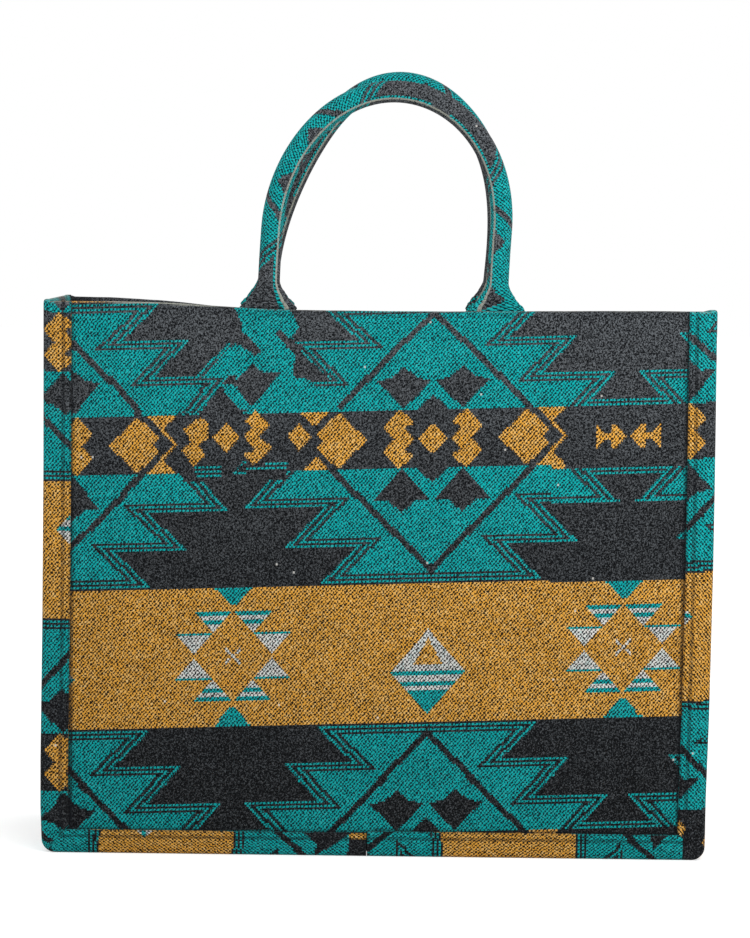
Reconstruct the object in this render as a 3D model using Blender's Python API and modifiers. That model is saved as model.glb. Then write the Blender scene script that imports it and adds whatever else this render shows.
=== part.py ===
"""Structured open-top tote handbag of coarse patterned cloth, with two rolled handles.

Metres, +Z up, the front faces -Y and +X is to the right seen from the front. The origin
is on the ground, under the middle of the bag. Every cloth piece is cut flat or lofted as a
sheet, and Solidify gives it the cloth's thickness.
"""
import math

import bmesh
import bpy
from mathutils import Matrix, Vector
from mathutils.geometry import delaunay_2d_cdt

# Body of the bag
TOP_WIDTH = 0.410
BASE_WIDTH = 0.406
BODY_HEIGHT = 0.336
BODY_DEPTH = 0.155
CORNER_RADIUS = 0.008
BORDER_WIDTH = 0.017
FOLD_RADIUS = 0.003
STITCH_INSET = 0.0043
STATION_STEP = 0.030
SEAM_X = 0.005
GUSSET_RISE = 0.001

# Cloth, lining and stiffener
CLOTH = 0.0020
LINING_CLOTH = 0.0008
BOARD = 0.0020
CLEARANCE = 0.0003
HEM_DEPTH = 0.020
PANEL_INSET = 0.0045
LINING_DROP = 0.003
LINING_CORNER = 0.008
LINING_CHAMFER = 0.002
BULGE_MARGIN = 0.003
BULGE_SLOPE = 0.010
BOARD_CORNER = 0.006

# Handles: the front one, and the back one that stands a little higher
HANDLE_DIAMETER = 0.0133
COVER_CLOTH = 0.0016
FRONT_SPAN = 0.1395
FRONT_RISE = 0.1315
FRONT_LEG_RISE = 0.048
FRONT_CENTRE = 0.00125
FRONT_LEAN = 0.0060
BACK_SPAN = 0.1455
BACK_RISE = 0.1410
BACK_LEG_RISE = 0.030
BACK_CENTRE = 0.0003
BACK_LEAN = 0.0125
FOOT_WIDTH = 0.034
FOOT_THICKNESS = 0.0044
FOOT_DEPTH = 0.028
FLARE_HEIGHT = 0.016
FOOT_SQUARENESS = 0.5
ROPE_START = 0.017
RING_STEP = 0.0085
RING_SIDES = 14

# Pattern in the cloth: a diamond every repeat, rows that climb a little to the right
REPEAT = 0.2385
DIAMOND_X = 0.0328
MOTIF_Z = 0.2571
ROW_SLOPE = 0.036
MOTIF_HALF = 0.0179
UPPER_FIELD = 0.0740
LOWER_FIELD = 0.0710
OCHRE_BAND = 0.0841
BASE_FIELD = 0.0676
LOZENGE_DROP = 0.0144
LEFT_STRIP_MOTIF = 0.0246
RIGHT_STRIP_MOTIF = 0.0720
HANDLE_DARK = ((-0.030, 0.035), (0.157, 0.245))

# Derived sizes
HEM_RADIUS = CLOTH + CLEARANCE
PANEL_OFFSET = CLOTH + CLEARANCE
PANEL_BACK = PANEL_OFFSET + 2 * HEM_RADIUS
FOOT_OFFSET = PANEL_BACK + CLEARANCE
LINING_SIDE = 2 * HEM_RADIUS + CLEARANCE
BOARD_BOTTOM = CLOTH + CLEARANCE
LINING_BOTTOM = BOARD_BOTTOM + BOARD + CLEARANCE
GUSSET_TOP = BODY_HEIGHT + GUSSET_RISE
HANDLE_RADIUS = HANDLE_DIAMETER / 2
HANDLE_PLANE = BODY_DEPTH / 2 - FOOT_OFFSET - FOOT_THICKNESS / 2
ROPE_RADIUS = HANDLE_RADIUS - COVER_CLOTH - CLEARANCE
FOOT_BULGE = FOOT_THICKNESS + CLEARANCE
STRIP_PERIOD = 2 * MOTIF_HALF + LOWER_FIELD + OCHRE_BAND + BASE_FIELD
BAND_EDGES = (-MOTIF_HALF, MOTIF_HALF, MOTIF_HALF + LOWER_FIELD, MOTIF_HALF + LOWER_FIELD + OCHRE_BAND)

COLOURS = {
    "charcoal": (0.040, 0.040, 0.044),
    "teal": (0.005, 0.255, 0.225),
    "ochre": (0.560, 0.300, 0.045),
    "ecru": (0.620, 0.620, 0.560),
    "lining": (0.700, 0.660, 0.560),
    "board": (0.350, 0.300, 0.230),
    "rope": (0.600, 0.560, 0.470),
}
CLOTH_COLOURS = ("charcoal", "teal", "ochre", "ecru")


def clear_scene():
    """Remove what the scene holds."""
    for item in list(bpy.data.objects):
        bpy.data.objects.remove(item, do_unlink=True)


def make_material(name, roughness=0.9):
    """A plain Principled material in one of the part's colours."""
    material = bpy.data.materials.new(name)
    material.use_nodes = True
    shader = material.node_tree.nodes["Principled BSDF"]
    shader.inputs["Base Color"].default_value = (*COLOURS[name], 1.0)
    shader.inputs["Roughness"].default_value = roughness
    shader.inputs["Metallic"].default_value = 0.0
    return material


def add_object(name, data, materials):
    """Link an object with its materials to the bag's collection."""
    item = bpy.data.objects.new(name, data)
    for material in materials:
        data.materials.append(material)
    bag.objects.link(item)
    return item


def thicken(item, thickness):
    """Give an open sheet its cloth thickness on the inner side."""
    solid = item.modifiers.new("Cloth", "SOLIDIFY")
    solid.thickness = thickness
    solid.offset = -1.0
    solid.use_even_offset = True
    solid.use_quality_normals = True


def half_width(z):
    """Half the outer width of the bag at a height."""
    return (BASE_WIDTH + (TOP_WIDTH - BASE_WIDTH) * z / BODY_HEIGHT) / 2


def smooth_step(value):
    """Ease from 0 to 1."""
    value = min(max(value, 0.0), 1.0)
    return value * value * (3.0 - 2.0 * value)


def mirrored(points, flip_u=False, flip_v=False):
    """Points reflected left to right, top to bottom or both."""
    return [(-u if flip_u else u, -v if flip_v else v) for u, v in points]


def shifted(points, du=0.0, dv=0.0):
    """Points moved across the cloth."""
    return [(u + du, v + dv) for u, v in points]


def anticlockwise(points):
    """The points in anticlockwise order."""
    pairs = zip(points, points[1:] + points[:1])
    turn = sum(u * next_v - next_u * v for (u, v), (next_u, next_v) in pairs)
    return points if turn > 0 else points[::-1]


def four_ways(points):
    """A shape and its three reflections."""
    return [mirrored(points, flip_u, flip_v) for flip_u in (False, True) for flip_v in (False, True)]


def lozenge(half_u, half_v, u=0.0, v=0.0):
    """A diamond with its corners on the cloth's threads."""
    return shifted([(half_u, 0.0), (0.0, half_v), (-half_u, 0.0), (0.0, -half_v)], u, v)


def field_shapes(field, side):
    """Teal stepped half-diamond, its dark lines and hearts, above (1) or below (-1) the motif row."""
    edge = MOTIF_HALF
    stair = [(0.0886, 0.0), (0.1123, 0.32), (0.0650, 0.32), (0.0856, 0.66), (0.0431, 0.66), (0.0644, 0.985)]
    stair = [(u, edge + share * field) for u, share in stair]
    teal = stair + [(-u, v) for u, v in reversed(stair)]
    line_half, reach_u, reach_v = 0.0015, 0.0771, 0.0780
    start_u = reach_u * (1 - edge / reach_v)
    line = [(start_u - line_half, edge), (start_u + line_half, edge), (line_half, reach_v), (-line_half, reach_v)]
    heart = [(0.0194, 0.0010), (0.0358, 0.0194), (0.0255, 0.0194), (0.0194, 0.0261), (0.0133, 0.0194),
             (0.0030, 0.0194)]
    heart = shifted(heart, 0.0, edge)
    wedge = [(-0.0103, edge), (0.0103, edge), (0.0, edge + 0.0085)]
    shapes = [("teal", teal), ("charcoal", wedge)]
    for flip in (False, True):
        shapes.append(("charcoal", mirrored(line, flip)))
        shapes.append(("charcoal", mirrored(heart, flip)))
    return [(colour, mirrored(points, flip_v=side < 0)) for colour, points in shapes]


def motif_shapes():
    """Ochre figures along the middle of the charcoal row."""
    step = [(0.0212, 0.0176), (0.0297, 0.0079), (0.0236, 0.0012), (0.0309, -0.0061), (0.0188, -0.0176),
            (0.0109, -0.0097), (0.0158, 0.0012), (0.0115, 0.0103)]
    wedge = [(0.0722, 0.0085), (0.0625, 0.0176), (0.0813, 0.0176)]
    shapes = [("ochre", lozenge(0.0086, 0.0086))]
    for flip in (False, True):
        side = -1 if flip else 1
        shapes.append(("ochre", mirrored(step, flip)))
        shapes.append(("ochre", lozenge(0.0155, 0.0170, side * 0.0545)))
        shapes.append(("ochre", mirrored(wedge, flip)))
        shapes.append(("ochre", mirrored(wedge, flip, True)))
    return shapes


def arrow_shapes():
    """Four small ochre arrowheads between two diamonds, pointing to the middle."""
    arrow = [(-0.0206, -0.0060), (-0.0120, 0.0), (-0.0206, 0.0060)]
    inner = shifted(arrow, 0.0100)
    return [("ochre", mirrored(points, flip)) for points in (arrow, inner) for flip in (False, True)]


def star_shapes():
    """Eight striped triangles round an open middle, in the ochre band."""
    shapes = []
    top = [(-0.0115, 0.0410), (0.0115, 0.0410), (0.0, 0.0300)]
    inner = [(0.0012, 0.0270), (0.0242, 0.0270), (0.0122, 0.0150)]
    inner_stripe = [(0.0040, 0.0240), (0.0210, 0.0240), (0.0180, 0.0208), (0.0068, 0.0208)]
    outer = [(0.0121, 0.0137), (0.0349, 0.0137), (0.0236, 0.0012)]
    outer_stripe = [(0.0121, 0.0146), (0.0349, 0.0146), (0.0330, 0.0122), (0.0140, 0.0122)]
    for flip_v in (False, True):
        shapes.append(("teal", mirrored(top, False, flip_v)))
    for points, colour in ((inner, "teal"), (inner_stripe, "ecru"), (outer, "ecru"), (outer_stripe, "teal")):
        shapes += [(colour, copy) for copy in four_ways(points)]
    shapes.append(("ecru", lozenge(0.0035, 0.0035)))
    return shapes


def lozenge_shapes():
    """Striped lozenge that stands between two stars."""
    outer = [(-0.0227, -0.0005), (0.0, 0.0265), (0.0227, -0.0005), (0.0, -0.0255)]
    window = [(-0.0085, 0.0050), (0.0, 0.0215), (0.0090, 0.0050)]
    stripe = [(-0.0227, -0.0012), (0.0227, -0.0012), (0.0205, -0.0040), (-0.0205, -0.0040)]
    lower = [(-0.0160, -0.0075), (0.0160, -0.0075), (0.0140, -0.0102), (-0.0140, -0.0102)]
    return [("teal", outer), ("ecru", [(-0.0205, 0.0020), (0.0, 0.0265), (0.0205, 0.0020)]), ("ochre", window),
            ("ecru", stripe), ("ecru", lower)]


def pattern_shapes():
    """Every shape woven into a panel, as (colour, points) in the panel's flat metres, back to front."""
    reach = 2 * REPEAT
    above = MOTIF_HALF + UPPER_FIELD
    below = -MOTIF_HALF - LOWER_FIELD
    bands = [("ochre", above, above + OCHRE_BAND), ("ochre", below - OCHRE_BAND, below)]
    shapes = [(colour, [(-reach, low), (reach, low), (reach, high), (-reach, high)]) for colour, low, high in bands]
    base_motif = below - OCHRE_BAND - BASE_FIELD - MOTIF_HALF
    for column in (-1, 0, 1):
        place = column * REPEAT
        for colour, points in field_shapes(UPPER_FIELD, 1) + field_shapes(LOWER_FIELD, -1) + motif_shapes():
            shapes.append((colour, shifted(points, place)))
        for colour, points in field_shapes(BASE_FIELD, 1):
            shapes.append((colour, shifted(points, place, base_motif)))
        for colour, points in lozenge_shapes():
            shapes.append((colour, shifted(points, place, below - OCHRE_BAND / 2 - LOZENGE_DROP)))
    for column in (-0.5, 0.5):
        place = column * REPEAT
        for colour, points in arrow_shapes():
            shapes.append((colour, shifted(points, place)))
        for colour, points in star_shapes():
            shapes.append((colour, shifted(points, place, below - OCHRE_BAND / 2)))
    return [(colour, anticlockwise([(u + DIAMOND_X, MOTIF_Z + v + ROW_SLOPE * u) for u, v in points]))
            for colour, points in shapes]


def panel_outline():
    """Flat outline of a panel: down the sides, round the bottom corners, with the hem at the top."""
    low = PANEL_INSET
    radius = max(CORNER_RADIUS - PANEL_INSET, CLEARANCE)
    top = BODY_HEIGHT - HEM_RADIUS + math.pi * HEM_RADIUS + HEM_DEPTH
    fold = BODY_HEIGHT - HEM_RADIUS
    side = []
    for step in range(4):
        angle = math.radians(-90 + 30 * step)
        centre_x = half_width(low) - PANEL_INSET - radius
        side.append((centre_x + radius * math.cos(angle), low + radius + radius * math.sin(angle)))
    side.append((half_width(fold) - PANEL_INSET, fold))
    side.append((half_width(fold) - PANEL_INSET, top))
    return side + mirrored(reversed(side), True)


def fold_panel(x, w):
    """Take a flat point to its place: upright, then over the rim and down as the hem."""
    fold = BODY_HEIGHT - HEM_RADIUS
    turn = w - fold
    front = -BODY_DEPTH / 2 + PANEL_OFFSET
    if turn <= 0.0:
        return Vector((x, front, w))
    if turn >= math.pi * HEM_RADIUS:
        return Vector((x, front + 2 * HEM_RADIUS, fold - (turn - math.pi * HEM_RADIUS)))
    angle = turn / HEM_RADIUS
    return Vector((x, front + HEM_RADIUS * (1 - math.cos(angle)), fold + HEM_RADIUS * math.sin(angle)))


def panel_mesh():
    """Cut a panel flat with its colour fields, then fold its hem."""
    outline = panel_outline()
    shapes = pattern_shapes()
    points = list(outline)
    faces = [list(range(len(outline)))]
    for _, shape in shapes:
        faces.append(list(range(len(points), len(points) + len(shape))))
        points += shape
    edges = []
    for step in range(6):
        level = BODY_HEIGHT - HEM_RADIUS + math.pi * HEM_RADIUS * step / 5
        edges.append((len(points), len(points) + 1))
        points += [(-TOP_WIDTH, level), (TOP_WIDTH, level)]
    flat = delaunay_2d_cdt([Vector(point) for point in points], edges, faces, 0, 1e-6)
    sheet = bmesh.new()
    corners = [sheet.verts.new(fold_panel(point.x, point.y)) for point in flat[0]]
    for face, sources in zip(flat[2], flat[5]):
        if 0 not in sources:
            continue
        cut = sheet.faces.new([corners[index] for index in face])
        top_shape = max(sources)
        if top_shape:
            cut.material_index = CLOTH_COLOURS.index(shapes[top_shape - 1][0])
    loose = [corner for corner in sheet.verts if not corner.link_faces]
    bmesh.ops.delete(sheet, geom=loose, context="VERTS")
    bmesh.ops.remove_doubles(sheet, verts=sheet.verts, dist=2e-5)
    mesh = bpy.data.meshes.new("panel")
    sheet.to_mesh(mesh)
    sheet.free()
    return mesh


def make_panels(materials):
    """Front panel, and the same piece turned round for the back."""
    mesh = panel_mesh()
    front = add_object("front_panel", mesh, materials)
    back = bpy.data.objects.new("back_panel", mesh)
    back.rotation_euler = (0.0, 0.0, math.pi)
    bag.objects.link(back)
    for panel in (front, back):
        thicken(panel, CLOTH)


def strip_place(along, inset):
    """Width and height of a gusset point, from its way along the strip and its inset from the outer face.

    The way along starts on top of the rim. It is negative inside the hem, and runs down the side,
    round the corner and in along the base.
    """
    quarter = math.pi / 2 * HEM_RADIUS
    fold = GUSSET_TOP - HEM_RADIUS
    if along < -quarter:
        return half_width(fold) - 2 * HEM_RADIUS + inset, fold + quarter + along
    if along < quarter:
        angle = math.pi / 2 - along / HEM_RADIUS
        reach = HEM_RADIUS - inset
        return half_width(fold) - HEM_RADIUS + reach * math.cos(angle), fold + reach * math.sin(angle)
    down = along - quarter
    if down <= fold - CORNER_RADIUS:
        z = fold - down
        return half_width(z) - inset, max(z, inset)
    turn = down - (fold - CORNER_RADIUS)
    reach = CORNER_RADIUS - inset
    centre = half_width(0.0) - CORNER_RADIUS
    if turn < CORNER_RADIUS * math.pi / 2:
        if reach <= 0.0:
            return half_width(0.0) - inset, inset
        angle = turn / CORNER_RADIUS
        return centre + reach * math.cos(angle), CORNER_RADIUS - reach * math.sin(angle)
    x = centre - (turn - CORNER_RADIUS * math.pi / 2)
    return min(x, half_width(0.0) - inset), inset


def strip_stops(seam, first_motif):
    """Where the strip gets a row of points: at its bends, at its colour bands and between them."""
    quarter = math.pi / 2 * HEM_RADIUS
    corner_start = quarter + GUSSET_TOP - HEM_RADIUS - CORNER_RADIUS
    corner_end = corner_start + CORNER_RADIUS * math.pi / 2
    end = corner_end + half_width(0.0) - CORNER_RADIUS - seam
    stops = [-quarter - HEM_DEPTH] + [quarter * step / 3 for step in range(-3, 4)]
    stops += [corner_start + (corner_end - corner_start) * step / 4 for step in range(5)]
    stops += [corner_start + CORNER_RADIUS - BORDER_WIDTH, corner_end - CORNER_RADIUS + BORDER_WIDTH, end]
    spare = STATION_STEP / 4
    bands = [first_motif + edge + turn * STRIP_PERIOD for turn in (-1, 0, 1, 2) for edge in BAND_EDGES]
    for extra in bands + [STATION_STEP * step for step in range(1, int(end / STATION_STEP) + 1)]:
        if quarter < extra < end and min(abs(extra - stop) for stop in stops) > spare:
            stops.append(extra)
    return sorted(stops)


def band_colour(along):
    """Colour of the strip's broad bands, at a distance from the middle of a motif row."""
    down = (along - BAND_EDGES[0]) % STRIP_PERIOD + BAND_EDGES[0]
    if down < BAND_EDGES[1]:
        return "charcoal"
    return "ochre" if BAND_EDGES[2] < down < BAND_EDGES[3] else "teal"


def gusset_columns():
    """Insets and depths across half the strip, from the border's cut edge to the middle of the side."""
    front = -BODY_DEPTH / 2
    columns = [(BORDER_WIDTH, front), (BORDER_WIDTH - STITCH_INSET, front), (FOLD_RADIUS, front)]
    for step in range(1, 4):
        turn = math.pi / 2 * step / 3
        columns.append((FOLD_RADIUS * (1 - math.sin(turn)), front + FOLD_RADIUS * (1 - math.cos(turn))))
    notch = len(columns)
    columns.append((0.0, front + PANEL_BACK + 3 * CLEARANCE))
    columns += [(0.0, front * share) for share in (0.6, 0.3, 0.0)]
    return columns, notch


def make_gusset(name, side, seam, first_motif, materials):
    """L-shaped strip round one side, its borders turned over onto the front and back."""
    columns, notch = gusset_columns()
    strip = bmesh.new()
    fold_start = math.pi / 2 * HEM_RADIUS
    stops = strip_stops(seam, first_motif)

    def add_row(along, first, last):
        row = {}
        for number in range(first, last):
            inset, y = columns[number]
            x, z = strip_place(along, inset)
            row[number] = strip.verts.new((side * x, y, z))
        return row

    def bridge(above, below, colour):
        for number in sorted(above):
            if number + 1 in above and number in below and number + 1 in below:
                quad = [above[number], below[number], below[number + 1], above[number + 1]]
                face = strip.faces.new(quad if side > 0 else quad[::-1])
                face.material_index = CLOTH_COLOURS.index(colour)

    rows = [(along, add_row(along, 0 if along >= fold_start else notch, len(columns))) for along in stops]
    for (start, above), (end, below) in zip(rows, rows[1:]):
        bridge(above, below, band_colour((start + end) / 2 - first_motif))
    rim = {}
    first_full = next(row for along, row in rows if along >= fold_start)
    for number in range(notch + 1):
        corner = first_full[number].co
        slit = 2 * CLEARANCE if number == notch else 0.0
        rim[number] = strip.verts.new((corner.x, corner.y - slit, GUSSET_TOP))
    bridge(rim, first_full, band_colour(-first_motif))
    bmesh.ops.remove_doubles(strip, verts=strip.verts, dist=1e-6)
    mesh = bpy.data.meshes.new(name)
    strip.to_mesh(mesh)
    strip.free()
    item = add_object(name, mesh, materials)
    mirror = item.modifiers.new("Back half", "MIRROR")
    mirror.use_axis = (False, True, False)
    mirror.merge_threshold = 1e-5
    thicken(item, CLOTH)


def foot_places():
    """Middle of each handle's feet, as (x, side of the bag)."""
    return [(FRONT_CENTRE - FRONT_SPAN / 2, -1), (FRONT_CENTRE + FRONT_SPAN / 2, -1),
            (BACK_CENTRE - BACK_SPAN / 2, 1), (BACK_CENTRE + BACK_SPAN / 2, 1)]


def lining_bulge(x, y, z):
    """How far the lining swells inward to pass over the handles' feet."""
    swell = 0.0
    for foot_x, side in foot_places():
        if y * side <= 0.0:
            continue
        across = 1 - smooth_step((abs(x - foot_x) - FOOT_WIDTH / 2 - BULGE_MARGIN) / BULGE_SLOPE)
        upward = smooth_step((z - BODY_HEIGHT + FOOT_DEPTH + BULGE_MARGIN + BULGE_SLOPE) / BULGE_SLOPE)
        swell = max(swell, across * upward)
    return swell * FOOT_BULGE


def lining_side(side, x_flat):
    """Places along one long side of the pouch, closer together where it swells over the feet."""
    places = [0.0]
    for foot_x, foot_side in foot_places():
        if foot_side != side:
            continue
        places.append(foot_x)
        for share in (0.0, 0.5, 1.0):
            reach = FOOT_WIDTH / 2 + BULGE_MARGIN + BULGE_SLOPE * share
            places += [foot_x - reach, foot_x + reach]
    return sorted(place for place in places if abs(place) < x_flat)


def lining_loop():
    """The pouch seen from above, anticlockwise from its right front corner, as (x, y) on its outer face."""
    x_flat = half_width(0.0) - LINING_SIDE - LINING_CORNER
    y_flat = BODY_DEPTH / 2 - FOOT_OFFSET - LINING_CORNER
    loop = []
    for x_sign, y_sign, start in ((1, -1, -90), (1, 1, 0), (-1, 1, 90), (-1, -1, 180)):
        for step in range(5):
            angle = math.radians(start + 22.5 * step)
            loop.append((x_sign * x_flat + LINING_CORNER * math.cos(angle),
                         y_sign * y_flat + LINING_CORNER * math.sin(angle)))
        if x_sign == y_sign:
            places = lining_side(y_sign, x_flat)
            loop += [(x, y_sign * (y_flat + LINING_CORNER)) for x in places[::-y_sign]]
    return loop


def make_lining(materials):
    """Open-top pouch of plain cloth inside the bag."""
    loop = lining_loop()
    top = BODY_HEIGHT - LINING_DROP
    swell_start = BODY_HEIGHT - FOOT_DEPTH - BULGE_MARGIN - BULGE_SLOPE
    heights = [LINING_BOTTOM + LINING_CHAMFER]
    heights += [LINING_BOTTOM + (swell_start - LINING_BOTTOM) * step / 4 for step in range(1, 5)]
    heights += [swell_start + BULGE_SLOPE / 2, swell_start + BULGE_SLOPE, top]
    pouch = bmesh.new()
    rings = []
    for z in heights:
        lean = half_width(z) - half_width(0.0)
        ring = []
        for x, y in loop:
            inward = lining_bulge(x, y, z)
            ring.append(pouch.verts.new((x + math.copysign(lean, x), y - math.copysign(inward, y), z)))
        rings.append(ring)
    count = len(loop)
    for low, high in zip(rings, rings[1:]):
        for index in range(count):
            following = (index + 1) % count
            pouch.faces.new((low[index], low[following], high[following], high[index]))
    floor_ring = []
    for x, y in loop:
        x -= math.copysign(LINING_CHAMFER, x)
        y -= math.copysign(LINING_CHAMFER, y)
        floor_ring.append(pouch.verts.new((x, y, LINING_BOTTOM)))
    for index in range(count):
        following = (index + 1) % count
        pouch.faces.new((floor_ring[index], floor_ring[following], rings[0][following], rings[0][index]))
    pouch.faces.new(floor_ring)
    bmesh.ops.recalc_face_normals(pouch, faces=pouch.faces)
    mesh = bpy.data.meshes.new("lining")
    pouch.to_mesh(mesh)
    pouch.free()
    thicken(add_object("lining", mesh, materials), LINING_CLOTH)


def make_base_board(materials):
    """Stiffener between the base of the gusset and the lining."""
    bpy.ops.mesh.primitive_cube_add(size=1.0)
    board = bpy.context.object
    for holder in list(board.users_collection):
        holder.objects.unlink(board)
    bag.objects.link(board)
    board.name = "base_board"
    board.data.materials.append(materials[0])
    length = BASE_WIDTH - 2 * (CORNER_RADIUS + CLEARANCE)
    width = BODY_DEPTH - 2 * (PANEL_BACK + CLEARANCE)
    board.data.transform(Matrix.Diagonal((length, width, BOARD, 1.0)))
    board.location.z = BOARD_BOTTOM + BOARD / 2
    corners = [edge.index for edge in board.data.edges
               if abs(board.data.vertices[edge.vertices[0]].co.z - board.data.vertices[edge.vertices[1]].co.z) > 1e-6]
    weight = board.data.attributes.new("bevel_weight_edge", "FLOAT", "EDGE")
    for index in corners:
        weight.data[index].value = 1.0
    bevel = board.modifiers.new("Corners", "BEVEL")
    bevel.limit_method = "WEIGHT"
    bevel.width = BOARD_CORNER
    bevel.segments = 4


def handle_line(span, rise, leg_rise, centre, lean):
    """The handle's middle line in the bag's width and height, as evenly spaced points from foot to foot."""
    fine = []
    bottom = -FOOT_DEPTH
    for step in range(41):
        fine.append((-span / 2, bottom + (leg_rise - bottom) * step / 40))
    for step in range(1, 121):
        angle = math.pi * (1 - step / 120)
        fine.append((span / 2 * math.cos(angle), leg_rise + (rise - leg_rise) * math.sin(angle)))
    for step in range(1, 41):
        fine.append((span / 2, leg_rise + (bottom - leg_rise) * step / 40))
    shaped = [Vector((centre + x + lean * smooth_step(z / rise), z)) for x, z in fine]
    distance = [0.0]
    for before, after in zip(shaped, shaped[1:]):
        distance.append(distance[-1] + (after - before).length)
    count = round(distance[-1] / RING_STEP)
    line = []
    index = 0
    for step in range(count + 1):
        target = distance[-1] * step / count
        while index < len(distance) - 2 and distance[index + 1] < target:
            index += 1
        share = (target - distance[index]) / (distance[index + 1] - distance[index])
        line.append(shaped[index].lerp(shaped[index + 1], share))
    return line


def cover_section(height):
    """Half-width and half-thickness of the cover: flat at the foot, opening to a round tube above the rim."""
    open_share = smooth_step((height - 2 * CLEARANCE) / FLARE_HEIGHT)
    spread = (1 - min(max(height / FLARE_HEIGHT, 0.0), 1.0)) ** 1.5
    half_thick = FOOT_THICKNESS / 2 + (HANDLE_RADIUS - FOOT_THICKNESS / 2) * open_share
    half_wide = HANDLE_RADIUS + (FOOT_WIDTH / 2 - HANDLE_RADIUS) * spread
    return half_wide, half_thick


def make_handle(name, y, line, cover_materials, rope_materials):
    """Rolled cloth cover and the rope inside it."""
    tube = bmesh.new()
    rings = []
    for index, point in enumerate(line):
        before = line[max(index - 1, 0)]
        after = line[min(index + 1, len(line) - 1)]
        along = (after - before).normalized()
        if point.y < 2 * CLEARANCE:
            along = Vector((0.0, 1.0 if index < len(line) / 2 else -1.0))
        across = Vector((along.y, -along.x))
        half_wide, half_thick = cover_section(point.y)
        ring = []
        for side in range(RING_SIDES):
            angle = 2 * math.pi * side / RING_SIDES
            flatness = 1 - half_thick / half_wide
            swing = math.copysign(abs(math.sin(angle)) ** (1 - FOOT_SQUARENESS * flatness), math.sin(angle))
            out = point + across * half_wide * math.cos(angle)
            ring.append(tube.verts.new((out.x, y + half_thick * swing, BODY_HEIGHT + out.y)))
        rings.append(ring)
    for number, (low, high) in enumerate(zip(rings, rings[1:])):
        along = (number + 0.5) * RING_STEP - FOOT_DEPTH
        dark = any(start < along < end for start, end in HANDLE_DARK)
        for side in range(RING_SIDES):
            following = (side + 1) % RING_SIDES
            face = tube.faces.new((low[side], low[following], high[following], high[side]))
            face.material_index = CLOTH_COLOURS.index("charcoal" if dark else "teal")
    bmesh.ops.recalc_face_normals(tube, faces=tube.faces)
    mesh = bpy.data.meshes.new(name + "_cover")
    tube.to_mesh(mesh)
    tube.free()
    mesh.shade_smooth()
    thicken(add_object(name + "_cover", mesh, cover_materials), COVER_CLOTH)

    rope_points = [point for point in line if point.y >= ROPE_START]
    rope = bpy.data.curves.new(name + "_core", "CURVE")
    rope.dimensions = "3D"
    rope.bevel_depth = ROPE_RADIUS
    rope.bevel_resolution = 2
    rope.use_fill_caps = True
    rope.render_resolution_u = 0
    spline = rope.splines.new("POLY")
    spline.points.add(len(rope_points) - 1)
    for knot, point in zip(spline.points, rope_points):
        knot.co = (point.x, y, BODY_HEIGHT + point.y, 1.0)
    add_object(name + "_core", rope, rope_materials)


clear_scene()
bag = bpy.data.collections.new("handbag")
bpy.context.scene.collection.children.link(bag)
cloth_materials = [make_material(colour) for colour in CLOTH_COLOURS]
lining_material = make_material("lining")
board_material = make_material("board", 0.8)
rope_material = make_material("rope")
make_panels(cloth_materials)
make_gusset("gusset_left", -1, -SEAM_X + CLEARANCE / 2, LEFT_STRIP_MOTIF, cloth_materials)
make_gusset("gusset_right", 1, SEAM_X + CLEARANCE / 2, RIGHT_STRIP_MOTIF, cloth_materials)
make_lining([lining_material])
make_base_board([board_material])
front_line = handle_line(FRONT_SPAN, FRONT_RISE, FRONT_LEG_RISE, FRONT_CENTRE, FRONT_LEAN)
back_line = handle_line(BACK_SPAN, BACK_RISE, BACK_LEG_RISE, BACK_CENTRE, BACK_LEAN)
make_handle("front_handle", -HANDLE_PLANE, front_line, cloth_materials, [rope_material])
make_handle("back_handle", HANDLE_PLANE, back_line, cloth_materials, [rope_material])
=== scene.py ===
"""Looks of a structured open-top tote handbag of patterned cloth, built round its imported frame."""
import math

import bmesh
import bpy
import numpy as np
from mathutils import Matrix, Vector


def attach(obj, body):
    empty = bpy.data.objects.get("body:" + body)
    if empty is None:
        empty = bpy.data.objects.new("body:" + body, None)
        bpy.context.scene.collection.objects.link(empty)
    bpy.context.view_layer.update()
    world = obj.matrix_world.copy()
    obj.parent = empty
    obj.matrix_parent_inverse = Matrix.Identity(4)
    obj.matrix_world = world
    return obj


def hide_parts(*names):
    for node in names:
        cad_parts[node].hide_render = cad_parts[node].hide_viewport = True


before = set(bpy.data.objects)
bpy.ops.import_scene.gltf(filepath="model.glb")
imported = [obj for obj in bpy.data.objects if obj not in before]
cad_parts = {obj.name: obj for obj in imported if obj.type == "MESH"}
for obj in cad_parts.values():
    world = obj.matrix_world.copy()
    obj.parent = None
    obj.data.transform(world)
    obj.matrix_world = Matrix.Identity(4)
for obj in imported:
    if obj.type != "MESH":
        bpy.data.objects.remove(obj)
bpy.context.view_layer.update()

bl_info = {
    "name": "Patterned cloth tote",
    "version": (1, 0, 0),
    "blender": (4, 5, 0),
    "location": "3D View > Sidebar > Tote",
    "description": "Builds the cloth, lining and stage of a handbag round its packed frame",
    "category": "Object",
}

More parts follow.
